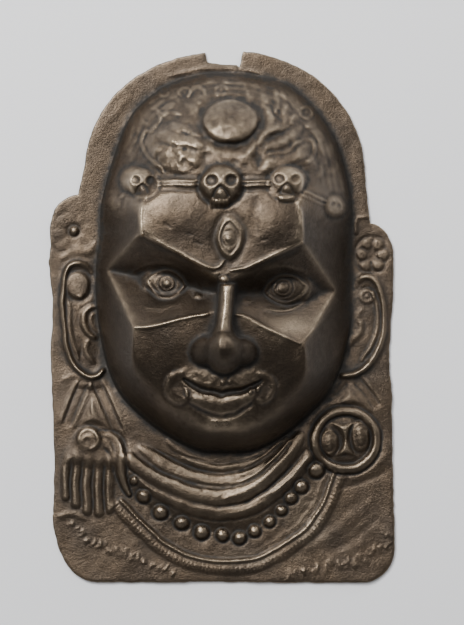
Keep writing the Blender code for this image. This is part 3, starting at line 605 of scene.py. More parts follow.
def hair(form):
    """Flame-like locks that sweep back on either side of the disc."""
    soft = [
        ((-50, 106), (-53, 97), (-51, 87), 2.8, 0.7),
        ((-47, 116), (-52, 110), (-55, 101), 2.6, 0.6),
        ((-24, 114), (-30, 112), (-36, 113.4), 2.2, 0.7),
        ((-20, 119), (-15, 116), (-13, 110), 2.6, 0.7),
        ((22, 97), (26.6, 106), (27, 117), 3.2, 0.9),
        ((28, 103), (34, 110), (37.5, 119), 3.0, 0.9),
        ((21, 110), (24.6, 118), (23.4, 127), 2.8, 0.9),
        ((39, 110), (44.4, 115), (43, 121), 2.6, 0.7),
        ((50, 107), (56, 100), (58, 91), 2.8, 0.7),
        ((55, 95), (57.4, 86), (54, 78), 2.6, 0.6),
        ((12, 86), (16.6, 92), (17.4, 99), 3.6, 0.8),
        ((-11, 86), (-13, 92), (-12, 99), 3.0, 0.6),
        ((52, 88), (46, 82.6), (42, 80.6), 2.6, 0.6),
        ((-52, 82), (-47, 84.6), (-42, 88), 2.6, 0.6),
        ((29, 127), (36, 124.6), (42, 119), 2.4, 0.7),
        ((-36, 125), (-43, 120.6), (-49, 112), 2.4, 0.5),
        ((14, 121), (18, 126), (16, 131), 2.6, 0.7),
        ((21, 84), (20, 91), (24, 96), 3.4, -0.8),
        ((30, 100), (33, 108), (32, 116), 1.8, -0.7),
        ((17, 101), (22, 108), (23, 116), 1.8, -0.6),
        ((-9, 100), (-16, 100), (-22, 104), 1.6, -0.6),
    ]
    for *points, half_width, height in soft:
        form.ridge(spline(points), half_width, height, taper=0.5)
    form.dome((-26, 94.6), (17.5, 14.5), 2.6, steepness=0.9, tilt=-16)
    mounds = [
        ([(-12, 95.5), (-19, 97.6), (-27, 100), (-34, 101.8)], 4.8, 1.1),
        ([(-14, 85.6), (-21, 87.6), (-29, 90), (-37.4, 92.6)], 5.4, 1.0),
        ([(-17, 104.2), (-22, 105), (-28, 107.6)], 3.4, 0.9),
        ([(-19, 81.6), (-25, 82.2), (-32, 84.4)], 2.6, 0.8),
    ]
    for path, half_width, height in mounds:
        form.ridge(spline(path), half_width, height, taper=0.5, sharpness=0.9)
    grooves = [
        ([(-11, 90.6), (-17, 93.4), (-24, 94), (-31, 96.8), (-37, 97.4)], 1.8, -0.7),
        ([(-14, 99.6), (-20, 102.2), (-29, 103.8)], 1.4, -0.7),
        ([(-31, 95), (-36, 90), (-35, 85)], 1.0, -0.5),
        ([(-22, 92), (-25, 88), (-24, 84.6)], 0.9, -0.4),
    ]
    for path, half_width, height in grooves:
        form.ridge(spline(path), half_width, height, taper=0.5)
    lump = smooth_step(1.1, 0.8, np.hypot((form.x + 25.5) / 15, (form.y - 95) / 15))
    form.rise += lump * (0.28 * unevenness(form.x, form.y, 3, 54)
                         + 0.26 * unevenness(form.x, form.y, 1.5, 55))
    for x, y in ((-37.6, 93.4), (-36.2, 91.4), (-34.8, 89.6)):
        form.ridge([(x - 1.4, y - 2), (x + 1.4, y + 2)], 0.6, -0.4)
    form.lines(
        ([(-32.7, 80.8), (-34.8, 83.4), (-38.6, 86.6), (-42, 90.6), (-44.4, 95.6), (-44.6, 100),
          (-42.4, 103.4), (-38.6, 104)], 1.4, 1.0, 0.2, 0.4),
        ([(-39.6, 105), (-36.6, 107), (-34.6, 110.6), (-35.4, 113)], 1.2, 0.9, 0.2, 0.3),
        ([(-41, 108), (-44.4, 110.4), (-45.6, 114)], 1.3, 0.6, 0.4))
    form.dome((-30.2, 117.8), (4.4, 2.2), 1.1, tilt=20, steepness=0.8, moat=0.3)
    form.lines(
        ([(-36, 114), (-29, 114.6), (-22.6, 113.8)], 1.2, 0.8, 0.3, 0.2),
        ([(-40, 117.6), (-36, 116), (-33, 112.6)], 1.1, 0.6, 0.3))
    for x, y, radius, start in ((-32.4, 126.2, 2.6, 60), (-20.6, 126, 3.2, -60),
                                (-0.4, 127.2, 3.2, 20), (47.9, 114.8, 3.6, -160)):
        form.ridge(arc((x, y), (radius, radius * 0.9), start, start + 290, 18), 1.2, 0.8, moat=0.3)
        form.dome((x, y), (radius * 0.36, radius * 0.36), 0.5)
    form.lines(
        ([(-18.4, 124), (-16.4, 127.6), (-13, 129.2), (-9.8, 127.6),
          (-9.4, 124.6)], 1.5, 0.9, 0.2, 0.4),
        ([(-28, 122.6), (-25, 124.4), (-24.6, 128)], 1.2, 0.6, 0.3))
    for x, y, radius, height in ((-12.5, 119.8, 1.6, 0.9), (-6.4, 132.6, 2.6, 0.7),
                                 (2, 132.4, 2.4, 0.7), (14.8, 125.8, 1.7, 1.2),
                                 (39.4, 108.3, 1.8, 1.4), (8.4, 124, 2.0, 0.6),
                                 (31.5, 101, 2.6, 0.8), (22.6, 92, 2.8, 0.7),
                                 (48.6, 107, 2.2, 0.8), (-40, 121.6, 2.6, 0.6),
                                 (19, 129.6, 2.6, 0.6), (-15, 133, 2.4, 0.5),
                                 (35, 98.6, 3.4, 0.7), (26, 88.6, 3.6, 0.7)):
        form.dome((x, y), (radius, radius * 0.85), height, steepness=0.9, moat=0.15)
    form.ridge([(2, 131.6), (9.6, 131)], 1.2, 0.5, taper=0.2)
    form.lines(
        ([(24, 84), (31, 85.4), (39, 88), (46, 92), (50, 97)], 5, 1.7, 0.3, 0, 0.9),
        ([(27, 91), (33, 91.2), (38, 93), (41.3, 96), (45, 98.6), (49, 99.6), (52.2, 97.4),
          (52, 91), (49, 87), (44, 85), (38, 82.6)], 1.5, 0.7, 0.3, 0.3),
        ([(25.5, 94.6), (33, 97.4), (40, 101.6), (44, 106)], 3.4, 1.1, 0.5),
        ([(21.5, 100.6), (28, 104.6), (35, 107), (40, 112)], 3.2, 1.1, 0.5),
        ([(24, 98), (31, 101), (38, 105)], 1.2, -0.6, 0.5),
        ([(22.6, 119.4), (26, 115.8), (29.4, 111)], 1.8, 0.9, 0.4),
        ([(27.6, 118.6), (29.6, 114), (33, 110.6)], 1.3, -0.7, 0.4))
    for n, x in enumerate((30.4, 34.6)):
        form.ridge(spline([(x, 115 - n), (x + 1.2, 121), (x - 0.6, 127 - n)]), 2.2, 0.9, taper=0.4,
                   moat=0.2)


def disc(form):
    """The big jewel: a flat rim, then a swelling that is fullest towards the chin."""
    middle = (5, 109.3)
    form.dome(middle, (15.3, 12.4), 3, steepness=0.35, moat=1.6)
    form.dome((4, 108), (14.6, 11.6), 2.6, steepness=1.0)
    form.ridge(arc(middle, (14.2, 11.4), 40, 140, 30), 0.7, 0.35)
    on_disc = smooth_step(1.1, 0.8, np.hypot((form.x - 5) / 15, (form.y - 109) / 12))
    form.rise += 0.05 * on_disc * unevenness(form.x, form.y, 3.2, 53)


# Ears and what hangs from them

def ears(form):
    """Long ears: a raised rim, a soft inner fold, a stud at the left and a coil at the right."""
    form.dome((-80, 2), (12, 32), 1.4, power=2.6, steepness=0.8)
    form.dome((81, -2), (11, 27), 1.3, power=2.6, steepness=0.8)
    left_rim = [(-73.6, 25.4), (-76, 28.6), (-80.9, 30.4), (-85.8, 28.8), (-88.3, 23.1),
                (-89.3, 14), (-89.7, 4), (-88.4, -7.3), (-86.9, -17.9), (-84.8, -24.7),
                (-81, -29.8), (-75.5, -33), (-70, -33.2), (-66.6, -30.5)]
    form.ridge(spline(left_rim), 3.6, 1.0, root=0.1)
    form.ridge(spline(left_rim), 1.6, 1.25, moat=0.45, root=0.12)
    form.lines(
        ([(-82, -29), (-75, -33.4), (-69.6, -33), (-66.4, -30.2)], 2.2, 1.3, 0.5),
        ([(-90, 33), (-82, 36.6), (-75, 37), (-71, 42)], 4, 0.55, 0.6))
    form.dome((-80.9, 17.8), (6.6, 7.6), 0.9, steepness=0.35, moat=0.6)
    form.dome((-79.6, 11.4), (1.6, 1.2), 0.5)
    form.lines(
        ([(-85.6, 8), (-85.4, -4), (-83.8, -14), (-80.6, -24)], 2.0, 0.8, 0.5),
        ([(-69.8, 5.8), (-73.4, 5.6), (-76.8, 2), (-77.4, -3.6), (-75.4, -8.6),
          (-71, -12)], 2.4, 1.0, 0.4, 0.25),
        ([(-72, 1.5), (-73.6, -1.6), (-72.4, -5.8), (-69, -9.5)], 1.3, 0.4),
        ([(-74.6, -13), (-76.5, -19), (-72, -26)], 2.2, 0.6, 0.5),
        ([(-79.8, -12), (-78.4, -18), (-80.4, -23)], 1.0, -0.4, 0.5))
    right_rim = [(75.4, 17.6), (78, 21.4), (82.6, 22.6), (87.4, 19), (91.2, 8), (91.6, -4),
                 (89.6, -15), (86, -23), (81, -28.6), (75, -32), (68, -33)]
    form.ridge(spline(right_rim), 3.4, 1.2, root=0.1)
    form.ridge(spline(right_rim), 1.7, 1.0, moat=0.35, root=0.12)
    form.lines(
        ([(84, -26), (76, -32), (68.6, -33.2)], 2.0, 1.0, 0.4),
        ([(84.5, 14), (87.6, 6), (87.8, -6), (84.6, -16), (79, -25)], 1.6, 0.9, 0.4, 0.25),
        ([(79, 16), (82, 16.9), (85, 15.4)], 1.2, -0.5))
    form.ridge(arc((82, 11.8), (3.2, 3.1), 0, 360, 20), 1.6, 0.55, moat=0.15)
    form.dome((82, 11.8), (1.6, 1.6), 0.6)
    form.lines(
        ([(78.8, -3), (77.5, -9), (73, -14), (68.5, -20)], 2.2, 0.65, 0.4, 0.15),
        ([(79.5, 4), (77, 1), (77.6, -3)], 1.7, 0.4))


def strap(form, path, half_width):
    """A flat band, a little sunk, between two low edges."""
    form.ridge(path, half_width, -0.25, sharpness=0.5)
    for side in (-1, 1):
        form.ridge(offset(path, side * (half_width + 1.4)), 2.2, 0.35, taper=0.4)
        form.ridge(offset(path, side * (half_width - 0.2)), 1.1, -0.55, taper=0.4)


def straps(form):
    """Bands that spread from each lobe and carry what hangs there."""
    form.dome((-74, -37.5), (9, 3.4), 0.9, steepness=0.8)
    strap(form, spline([(-77.4, -37), (-81.4, -46), (-84.4, -53.6), (-86.9, -60)]), 2.7)
    strap(form, spline([(-70.4, -37), (-66, -47), (-61.6, -56.6), (-58.6, -64)]), 2.6)
    form.patch([(-73.9, -41), (-80.6, -62), (-63, -62)], 5, 1.3)
    form.ridge(spline([(-74, -46), (-74.4, -52), (-73.6, -57)]), 0.9, -0.35, taper=0.4)
    strap(form, spline([(76.9, -36.5), (82.4, -43), (87.6, -50.4)]), 2.5)
    form.lines(
        ([(70.5, -37.5), (66, -43), (60.6, -47.8)], 1.9, -0.6, 0.3),
        ([(65, -36.8), (59, -43), (53, -49.5)], 2.6, 1.0, 0.5))
    form.patch([(72.6, -39), (63, -50), (81, -50)], 3.4, 1.2)


def left_pendant(form):
    """A cap with a coiled boss, fingers that hang from it, and a bent one beside them."""
    palm = [(-88, -84), (-87.4, -72), (-82, -63.5), (-73, -60.6), (-64, -62), (-58, -67.4),
            (-54.8, -75), (-55, -84), (-60, -87)]
    form.patch(spline(palm, closed=True), 7, 1.9)
    form.dome((-74.9, -69), (8.6, 8.4), 1.1, steepness=1.3)
    form.ridge(arc((-74.9, -68.9), (5.7, 5.9), 190, -80, 30), 2, 1.2, taper=0.7, sharpness=1.4)
    form.dome((-75.6, -69.6), (3.6, 3.8), -0.7, steepness=1.2)
    form.ridge(arc((-75.6, -70), (2.4, 2.4), 200, -20, 14), 1.2, 0.35, taper=0.5)
    for x, foot, width in ((-88, -101, 2.3), (-82, -105, 2.8), (-75.6, -108.6, 2.9),
                           (-69.3, -109.6, 2.8), (-63.2, -108, 2.5)):
        finger = spline([(x + 2, -72), (x - 0.3, (foot - 76) / 2), (x + 0.2, foot)])
        form.ridge(finger, width + 0.5, 1.5, sharpness=1.0, root=0.6)
        form.ridge(offset(finger, 1.0), 0.7, -0.3, root=0.6)
    for x, foot in ((-85.1, -103), (-78.8, -107), (-72.4, -110), (-66.2, -109)):
        form.ridge(spline([(x + 1, -78), (x - 0.2, -92), (x, foot)]), 1.3, -0.8, taper=0.5,
                   root=0.4)
    form.lay(spline([(-68, -65), (-61, -67.6), (-57, -74), (-56.4, -84), (-55.6, -92),
                     (-52, -100)]), 3.6, 2.9, root=0.6, tip=0.6, moat=0.7, over=1.0)
    form.ridge(spline([(-66, -74), (-62.4, -78), (-61, -88)]), 1.3, -0.8, taper=0.4)


def right_pendant(form):
    """A ring round a waisted bar with a leaf on either side."""
    middle = (69.7, -69.3)
    form.dome(middle, (16, 15.5), 0.8)
    ring = arc(middle, (17.5, 16.6), 0, 360, 60)
    form.ridge(ring, 2.6, 2.6, moat=0.6, sharpness=0.6)
    form.ridge(arc(middle, (18.4, 17.5), 0, 360, 60), 0.7, -0.35)
    hourglass = [(60.8, -58.8), (68.4, -59.6), (76, -58.8), (73, -64), (72, -69), (73.4, -74),
                 (76.9, -79), (69.8, -78.4), (63.2, -79), (66.4, -74), (67.3, -69), (65.8, -64)]
    form.patch(spline(hourglass, closed=True), 2.6, 2.2)
    for leaf, radii, tilt in (((60.4, -70.6), (5.2, 7.9), 8), ((78.2, -67.2), (5.2, 9.1), -4)):
        form.dome(leaf, radii, 1.8, tilt=tilt, moat=0.4)
        form.ridge(arc(leaf, (radii[0] * 0.6, radii[1] * 0.66), 30, 330, 20), 0.9, -0.5)
        x, y = leaf
        form.ridge([(x, y + 4), (x + 0.4, y - 4)], 1.1, 0.5, taper=0.5)
        for n in (-2, -1, 0, 1, 2):
            vein = y + 2.6 * n
            form.ridge([(x - 3, vein - 0.8), (x + 3, vein + 0.8)], 0.5, -0.25, taper=0.4)


def rosettes(form):
    """A flower beside each temple: worn away round its stud at the left, plump at the right."""
    stud, heart = (-83.2, 48.5), (84.9, 35)
    for turn in range(8):
        angle = math.radians(45 * turn + 12)
        petal = (stud[0] + 8.2 * math.cos(angle), stud[1] + 8.2 * math.sin(angle))
        form.dome(petal, (3.8, 3.2), 0.12, steepness=1, tilt=45 * turn + 12, moat=0.06)
    form.ridge(arc(stud, (3.5, 3.5), 0, 360, 20), 1, -0.4)
    form.lines(
        ([(-95, 40), (-92, 36.8), (-88, 37.4)], 1.4, -0.3, 0.5),
        ([(-93, 54), (-89, 58.6), (-84, 58)], 1.4, -0.2, 0.5))
    form.dome(stud, (2.6, 2.6), 1.5, moat=0.3)
    form.ridge(arc(stud, (1.4, 1.4), 150, 300, 10), 0.5, -0.4)
    for x, y, radius, height in ((88.2, 40.6, 3.5, 0.75), (91, 35, 3.4, 0.75),
                                 (88.2, 29.2, 3.4, 0.95), (81.6, 28.4, 3.4, 0.75),
                                 (79, 34.8, 3.3, 0.7), (81.8, 41.2, 3.4, 0.75)):
        form.dome((x, y), (radius, radius), height, steepness=1, moat=0.3)
        form.dome((x, y), (radius * 0.5, radius * 0.5), -0.35)
    form.ridge(arc((85, 35), (10.5, 10.5), 60, 300, 24), 1.2, -0.4, taper=0.4)
    form.dome(heart, (2.6, 2.6), -1.0, power=4)
    form.dome(heart, (1.2, 1.2), 0.6)
    form.ridge([(76, 47.4), (75.9, 53.6)], 1.5, 0.8)
    form.ridge([(76.6, 55.6), (83, 56.2)], 1.1, 0.5)


# Neck, beads and collar

def neck_folds(form):
    """Soft rolls that hang from ear to ear, each with a seam along its lower side."""
    form.ridge(hanging_curve((-54, -80), (1, -105), (48, -72)), 17, 2.6, taper=0.3, sharpness=1.6)
    folds = [
        ((-30, -70), (1, -85.2), (31, -71), 3.4, 0.9, 0.7),
        ((-45, -74), (1, -91.9), (36, -69.5), 4.8, 1.4, 0.6),
        ((-53, -79), (0, -101.2), (44, -67.5), 6.2, 2.2, 0.6),
        ((-48, -91), (2, -110.8), (50, -78), 4.4, 1.3, 0.7),
    ]
    for left, low, right, half_width, height, sharpness in folds:
        form.ridge(hanging_curve(left, low, right), half_width, height, taper=0.5,
                   sharpness=sharpness)
    seams = [
        ((-27, -76), (1, -82.6), (26, -75.5), 1.1, -0.7),
        ((-38, -74.5), (1.7, -87.8), (34, -70.5), 1.4, -1.0),
        ((-48, -78.5), (1.7, -96), (39, -70.5), 1.5, -1.2),
        ((-52, -86), (1.7, -106.6), (47, -75), 1.6, -1.0),
        ((-46, -96), (3, -115), (51, -84), 1.3, -0.4),
    ]
    for left, low, right, half_width, height in seams:
        form.ridge(hanging_curve(left, low, right), half_width, height, taper=0.6)
    form.lines(
        ([(1, -102.6), (16, -96.8), (29.2, -86.4), (40.5, -74)], 2.4, 0.6, 0.6),
        ([(10.4, -89), (22, -84), (32, -77.8)], 1.8, 0.5, 0.6),
        ([(29.2, -99.5), (40, -90), (48.9, -78.8)], 1.5, 0.8, 0.5),
        ([(-2.7, -112.4), (12, -109.4), (25.5, -103.4)], 1.6, 0.5, 0.5),
        ([(-57, -72), (-48, -88), (-36, -100)], 1.8, 0.4, 0.5))
    x, y = form.x, form.y
    neck = smooth_step(60, 50, np.abs(x)) * smooth_step(-76, -82, y) * smooth_step(-134, -124, y)
    form.rise += neck * (0.12 * unevenness(x, y, 3.4, 56) + 0.1 * unevenness(x, y, 1.6, 57))


def beads(form):
    """Round beads of uneven size (x, y, radius) on a thread."""
    string = [(-49.5, -92.5, 2.6), (-44, -101, 4.0), (-34.5, -110, 4.3), (-22.5, -116, 4.2),
              (-11, -121, 4.4), (0.5, -122.8, 3.8), (10, -124.6, 3.8), (18.5, -120.5, 3.8),
              (27, -115, 3.4), (33.5, -109, 3.3), (39.2, -102, 3.5), (45, -95.6, 4.0),
              (53.5, -86.5, 4.7)]
    thread = spline([(x, y) for x, y, _ in string])
    form.ridge(thread, 0.9, 0.2)
    for x, y, radius in string:
        form.dome((x, y), (radius, radius * 0.96), radius * 0.8, steepness=0.6, moat=0.5)


def rope_collar(form):
    """A cord, and outside it a low band with three rows of small studs."""
    crest = spline([(-56.4, -103.4), (-48, -112.6), (-38, -122), (-30, -128.3), (-20, -133.6),
                    (-10, -136.2), (0, -137.5), (10, -137.4), (20, -135.5), (30, -130.8),
                    (40, -124.6), (48, -118), (55, -108.6), (59, -100), (62, -92), (63.6, -88)])
    away = crest - (3, -60)
    outward = away / np.hypot(*away.T)[:, None]
    form.ridge(crest + outward * 3.8, 4.4, 0.8, taper=0.2, sharpness=0.9)
    form.ridge(crest, 1.7, 1.1, moat=0.2)
    form.studs(crest, 2.0, 0.95, 0.55)
    form.studs(crest + outward * 2.6, 2.0, 0.9, 0.4)
    form.studs(crest + outward * 4.4, 2.3, 1.0, 0.5)
    form.studs(crest + outward * 6.2, 2.1, 0.9, 0.35)
    form.ridge(crest[45:] - outward[45:] * 2.6, 0.7, 0.35, taper=0.4)
    form.ridge(crest[50:] - outward[50:] * 4.4, 0.7, 0.3, taper=0.4)


# Marks on the flat sheet

def inscription(form):
    """Two rows of short raised strokes that follow the lower corners; they spell nothing."""
    rows = [[(-85, -115.6), (-79, -121.5), (-73, -126), (-64, -130), (-55, -132.9), (-48, -136.4),
             (-40, -139.6), (-30, -143.4), (-22, -145.2)],
            [(36, -145.6), (44, -144.4), (52, -142.4), (58, -141), (68, -139), (75, -138.4),
             (82, -135.4), (89, -131), (93.4, -124), (94.2, -117)]]
    chance = np.random.default_rng(11)
    for row in rows:
        line = spline(row)
        length = np.concatenate([[0], np.cumsum(np.hypot(*np.diff(line, axis=0).T))])
        ahead = offset(line, 1.0) - line
        for station in np.arange(1.5, length[-1] - 1, 4.3):
            centre = np.array([np.interp(station, length, line[:, k]) for k in (0, 1)])
            up = np.array([np.interp(station, length, ahead[:, k]) for k in (0, 1)])
            up /= np.hypot(*up)
            right = np.array((up[1], -up[0]))
            for _ in range(chance.integers(3, 5)):
                foot = chance.uniform(-1.7, 1.7), chance.uniform(-3, 1)
                top = foot[0] + chance.uniform(-1.5, 1.5), foot[1] + chance.uniform(1, 3.4)
                bow = (foot[0] + top[0]) / 2 + chance.uniform(-1.1, 1.1)
                stroke = [(foot[0], foot[1]), (bow, (foot[1] + top[1]) / 2), top]
                path = [centre + right * u + up * v for u, v in stroke]
                form.ridge(spline(path, steps=4), 0.8, 0.3)


def creases(form):
    """Bends and dents in the flat sheet, and the fold that runs round the crown."""
    form.lines(
        ([(-26, 134.6), (-12.7, 136.5), (-4, 137.3), (4.6, 137.6)], 0.8, -0.5, 0.4),
        ([(-30, 135.6), (-16, 139), (0, 140), (9, 139.4)], 1.6, 0.35, 0.5),
        ([(10, 139.4), (18, 138), (27, 134.4), (40, 128)], 1.4, 0.35, 0.5),
        ([(14.8, 137.4), (20, 135.9), (24.5, 133.2)], 0.8, -0.5, 0.4))
    dents = [
        ([(47.8, -131.4), (65, -120.9), (75.5, -111.7), (84.7, -103.8)], 5, 0.3),
        ([(60, -133), (74, -126), (88, -114)], 3, -0.25),
        ([(70, -91), (82, -86.6), (93, -78)], 3, 0.3),
        ([(66, -97), (80, -93), (92, -88)], 1.8, -0.3),
        ([(-90, -36), (-84, -33), (-77, -35)], 2, 0.4),
        ([(-92, -112), (-84, -111), (-76, -114)], 2.4, 0.5),
        ([(-70, 100), (-63, 112), (-52, 124)], 3.4, 0.2),
        ([(70, 92), (66, 106), (56, 120)], 3.4, 0.2),
    ]
    for path, half_width, height in dents:
        form.ridge(spline(path), half_width, height, taper=0.5)


def hand_of_the_smith(form, depth_in):
    """Unevenness of hammered metal, from broad waves to grain; the flat sheet has less of it."""
    x, y = form.x, form.y
    flat = smooth_step(2, -3, depth_in)
    for height, less, cell, seed in ((0.28, 0.06, 15, 21), (0.14, 0.02, 6.3, 22),
                                     (0.07, 0.025, 2.7, 23), (0.05, 0.02, 1.2, 24)):
        form.rise += (height - less * flat) * unevenness(x, y, cell, seed)


def carve(xs, ys):
    """The full relief, and how deep each point lies inside the outline of the head."""
    form = Relief(xs, ys)
    depth_in = head(form)
    sockets(form)
    seat(form, depth_in)
    nose(form)
    form.broad = form.rise.copy()
    x, y = form.x.copy(), form.y.copy()
    form.x = x + 0.4 * unevenness(x, y, 8, 31) + 0.16 * unevenness(x, y, 3.1, 32)
    form.y = y + 0.4 * unevenness(x, y, 8, 33) + 0.16 * unevenness(x, y, 3.1, 34)
    hair_ground(form, depth_in)
    for carving in (eyes, third_eye, brows, nose_marks, forehead, mouth, hair, disc, skull_crown,
                    ears, straps, left_pendant, right_pendant, rosettes, neck_folds, beads,
                    rope_collar, inscription, creases):
        carving(form)
    form.x, form.y = x, y
    form.rise = soften(form.rise, 0.8)
    hand_of_the_smith(form, depth_in)
    form.rise = np.maximum(form.rise, FLOOR_RISE)
    return form.rise, depth_in


# The mesh

def sink(surface, spacing, distance):
    """The surface moved in by a distance: the lowest a ball of that radius reaches under it."""
    reach = int(distance / spacing) + 1
    rows, columns = surface.shape
    padded = np.pad(surface, reach, mode="edge")
    sunk = np.full(surface.shape, np.inf)
    for i in range(-reach, reach + 1):
        for j in range(-reach, reach + 1):
            square = distance**2 - (i * i + j * j) * spacing**2
            if square < 0:
                continue
            moved = padded[reach + i:reach + i + rows, reach + j:reach + j + columns]
            sunk = np.minimum(sunk, moved - math.sqrt(square))
    return sunk


def to_rim(points, loop):
    """The nearest place on a closed loop to each point."""
    a, b = loop, np.roll(loop, -1, 0)
    step = b - a
    square = np.maximum((step**2).sum(1), 1e-12)
    gap = points[:, None] - a[None]
    t = np.clip((gap * step).sum(2) / square, 0, 1)
    spots = a + t[..., None] * step
    chosen = ((points[:, None] - spots) ** 2).sum(2).argmin(1)
    return spots[np.arange(len(points)), chosen]


def sheet_mesh(xs, ys, front, back, rim):
    """Two skins over one lattice, cut at the rim and joined there."""
    x, y = np.meshgrid(xs, ys)
    rows, columns = x.shape
    centres = np.meshgrid((xs[1:] + xs[:-1]) / 2, (ys[1:] + ys[:-1]) / 2)
    kept = inside_by(*centres, rim) > 0
    corner = np.arange(rows * columns).reshape(rows, columns)
    quads = np.stack([corner[:-1, :-1], corner[:-1, 1:], corner[1:, 1:], corner[1:, :-1]], -1)
    quads = quads[kept]
    used = np.unique(quads)
    renumber = np.full(rows * columns, -1)
    renumber[used] = np.arange(len(used))
    quads = renumber[quads]
    edges = np.stack([quads, np.roll(quads, -1, 1)], -1).reshape(-1, 2)
    keys = np.sort(edges, 1)
    _, place, times = np.unique(keys, axis=0, return_inverse=True, return_counts=True)
    border = edges[times[place.ravel()] == 1]
    plan = np.column_stack([x.ravel()[used], y.ravel()[used]])
    edge_points = np.unique(border)
    plan[edge_points] = to_rim(plan[edge_points], rim)
    top, under = front.ravel()[used].copy(), back.ravel()[used].copy()
    total = len(used)
    points = np.vstack([np.column_stack([plan, top]), np.column_stack([plan, under])])
    sides = np.column_stack([border[:, 1], border[:, 0], border[:, 0] + total,
                             border[:, 1] + total])
    faces = np.vstack([quads, quads[:, ::-1] + total, sides])
    mesh = bpy.data.meshes.new("sheet")
    mesh.vertices.add(len(points))
    mesh.vertices.foreach_set("co", points.astype(np.float32).ravel())
    mesh.loops.add(faces.size)
    mesh.loops.foreach_set("vertex_index", faces.astype(np.int32).ravel())
    mesh.polygons.add(len(faces))
    mesh.polygons.foreach_set("loop_start", np.arange(0, faces.size, 4, dtype=np.int32))
    mesh.update(calc_edges=True)
    return mesh


def thin_out(mesh, triangles):
    """The mesh with fewer faces: many where the carving is, few where the metal is flat."""
    dense = bpy.data.objects.new("dense", mesh)
    bpy.context.scene.collection.objects.link(dense)
    fewer = dense.modifiers.new("fewer faces", "DECIMATE")
    fewer.ratio = min(1.0, triangles / (2 * len(mesh.polygons)))
    fewer.use_collapse_triangulate = True
    thinned = bpy.data.meshes.new_from_object(
        dense.evaluated_get(bpy.context.evaluated_depsgraph_get()))
    bpy.data.objects.remove(dense)
    bpy.data.meshes.remove(mesh)
    return thinned


def sample(values, xs, ys, x, y):
    """Values of the lattice at any place, weighed from the four points round it."""
    u = np.clip((x - xs[0]) / (xs[1] - xs[0]), 0, len(xs) - 1.001)
    v = np.clip((y - ys[0]) / (ys[1] - ys[0]), 0, len(ys) - 1.001)
    i, j = v.astype(int), u.astype(int)
    s, t = v - i, u - j
    low = values[i, j] * (1 - t) + values[i, j + 1] * t
    high = values[i + 1, j] * (1 - t) + values[i + 1, j + 1] * t
    return low * (1 - s) + high * s


# Spots added to the maps of dullness with painted shade, of dirt with painted shadow, of painted
# face shade and painted light, and of wear with painted highlights: middle, half sizes and
# strength
# Darker, rougher spots that paint shade over the skulls, the nose tip, the disc, the hair, the
# hanging hand, the left eye and the right side of the crown
DULL_AND_SHADE_SPOTS = ((-43.4, 75, 9, 9, 0.6), (36, 73, 9, 9, 0.2), (1.5, -19, 17, 10, 0.6),
          (7, 113, 13, 9, 0.9), (36, 104, 20, 16, 0.7), (0, 126, 40, 8, 0.7),
          (-74, -90, 16, 22, 0.4), (-31, 18.5, 12, 8, 0.4), (62, 88, 8, 26, 0.5))
# Mostly painted shadow: the head's shadow on the right ear and beside the jaw, and darker patches
# at the left edge, over the hand, on the right hair and along the top of the crown
DIRT_AND_SHADOW_SPOTS = ((81, -4, 14, 30, 0.22), (66, -40, 12, 16, 0.25), (-92, 2, 7, 40, 0.15),
         (-66, -78, 22, 14, 0.1), (34, 104, 22, 18, 0.08), (2, 128, 40, 6, 0.1))
# Painted light: spots where the painted face shade is taken away again, on the upper plane of the
# left socket, the lower plane of the right socket and the left of the jaw
PAINTED_LIGHT_SPOTS = ((-36, 31, 22, 9, -0.9), (42, -6, 14, 9, -0.5), (-30, -58, 16, 8, -0.5))
# Mostly painted highlights: brighter bare metal on the hair lump, the lower left of the disc, the
# middle skull, the collar, the third eye, the chin, the upper lip, the neck and the right cheek
# edge
WEAR_AND_HIGHLIGHT_SPOTS = ((-24, 92, 11, 9, 0.25), (-2, 101, 6, 4, 0.3), (0, 68, 8, 5, 0.2),
          (14, -136, 26, 4, 0.15), (50, -112, 10, 16, 0.2), (4.7, 43.9, 7, 10, 0.2),
          (1, -60, 14, 5, 0.4), (-7, -32, 10, 4, 0.35), (12, -32, 8, 3.5, 0.3),
          (2, -92, 40, 16, 0.14), (24, -92, 16, 14, 0.1), (39, -7, 12, 7, 0.3))


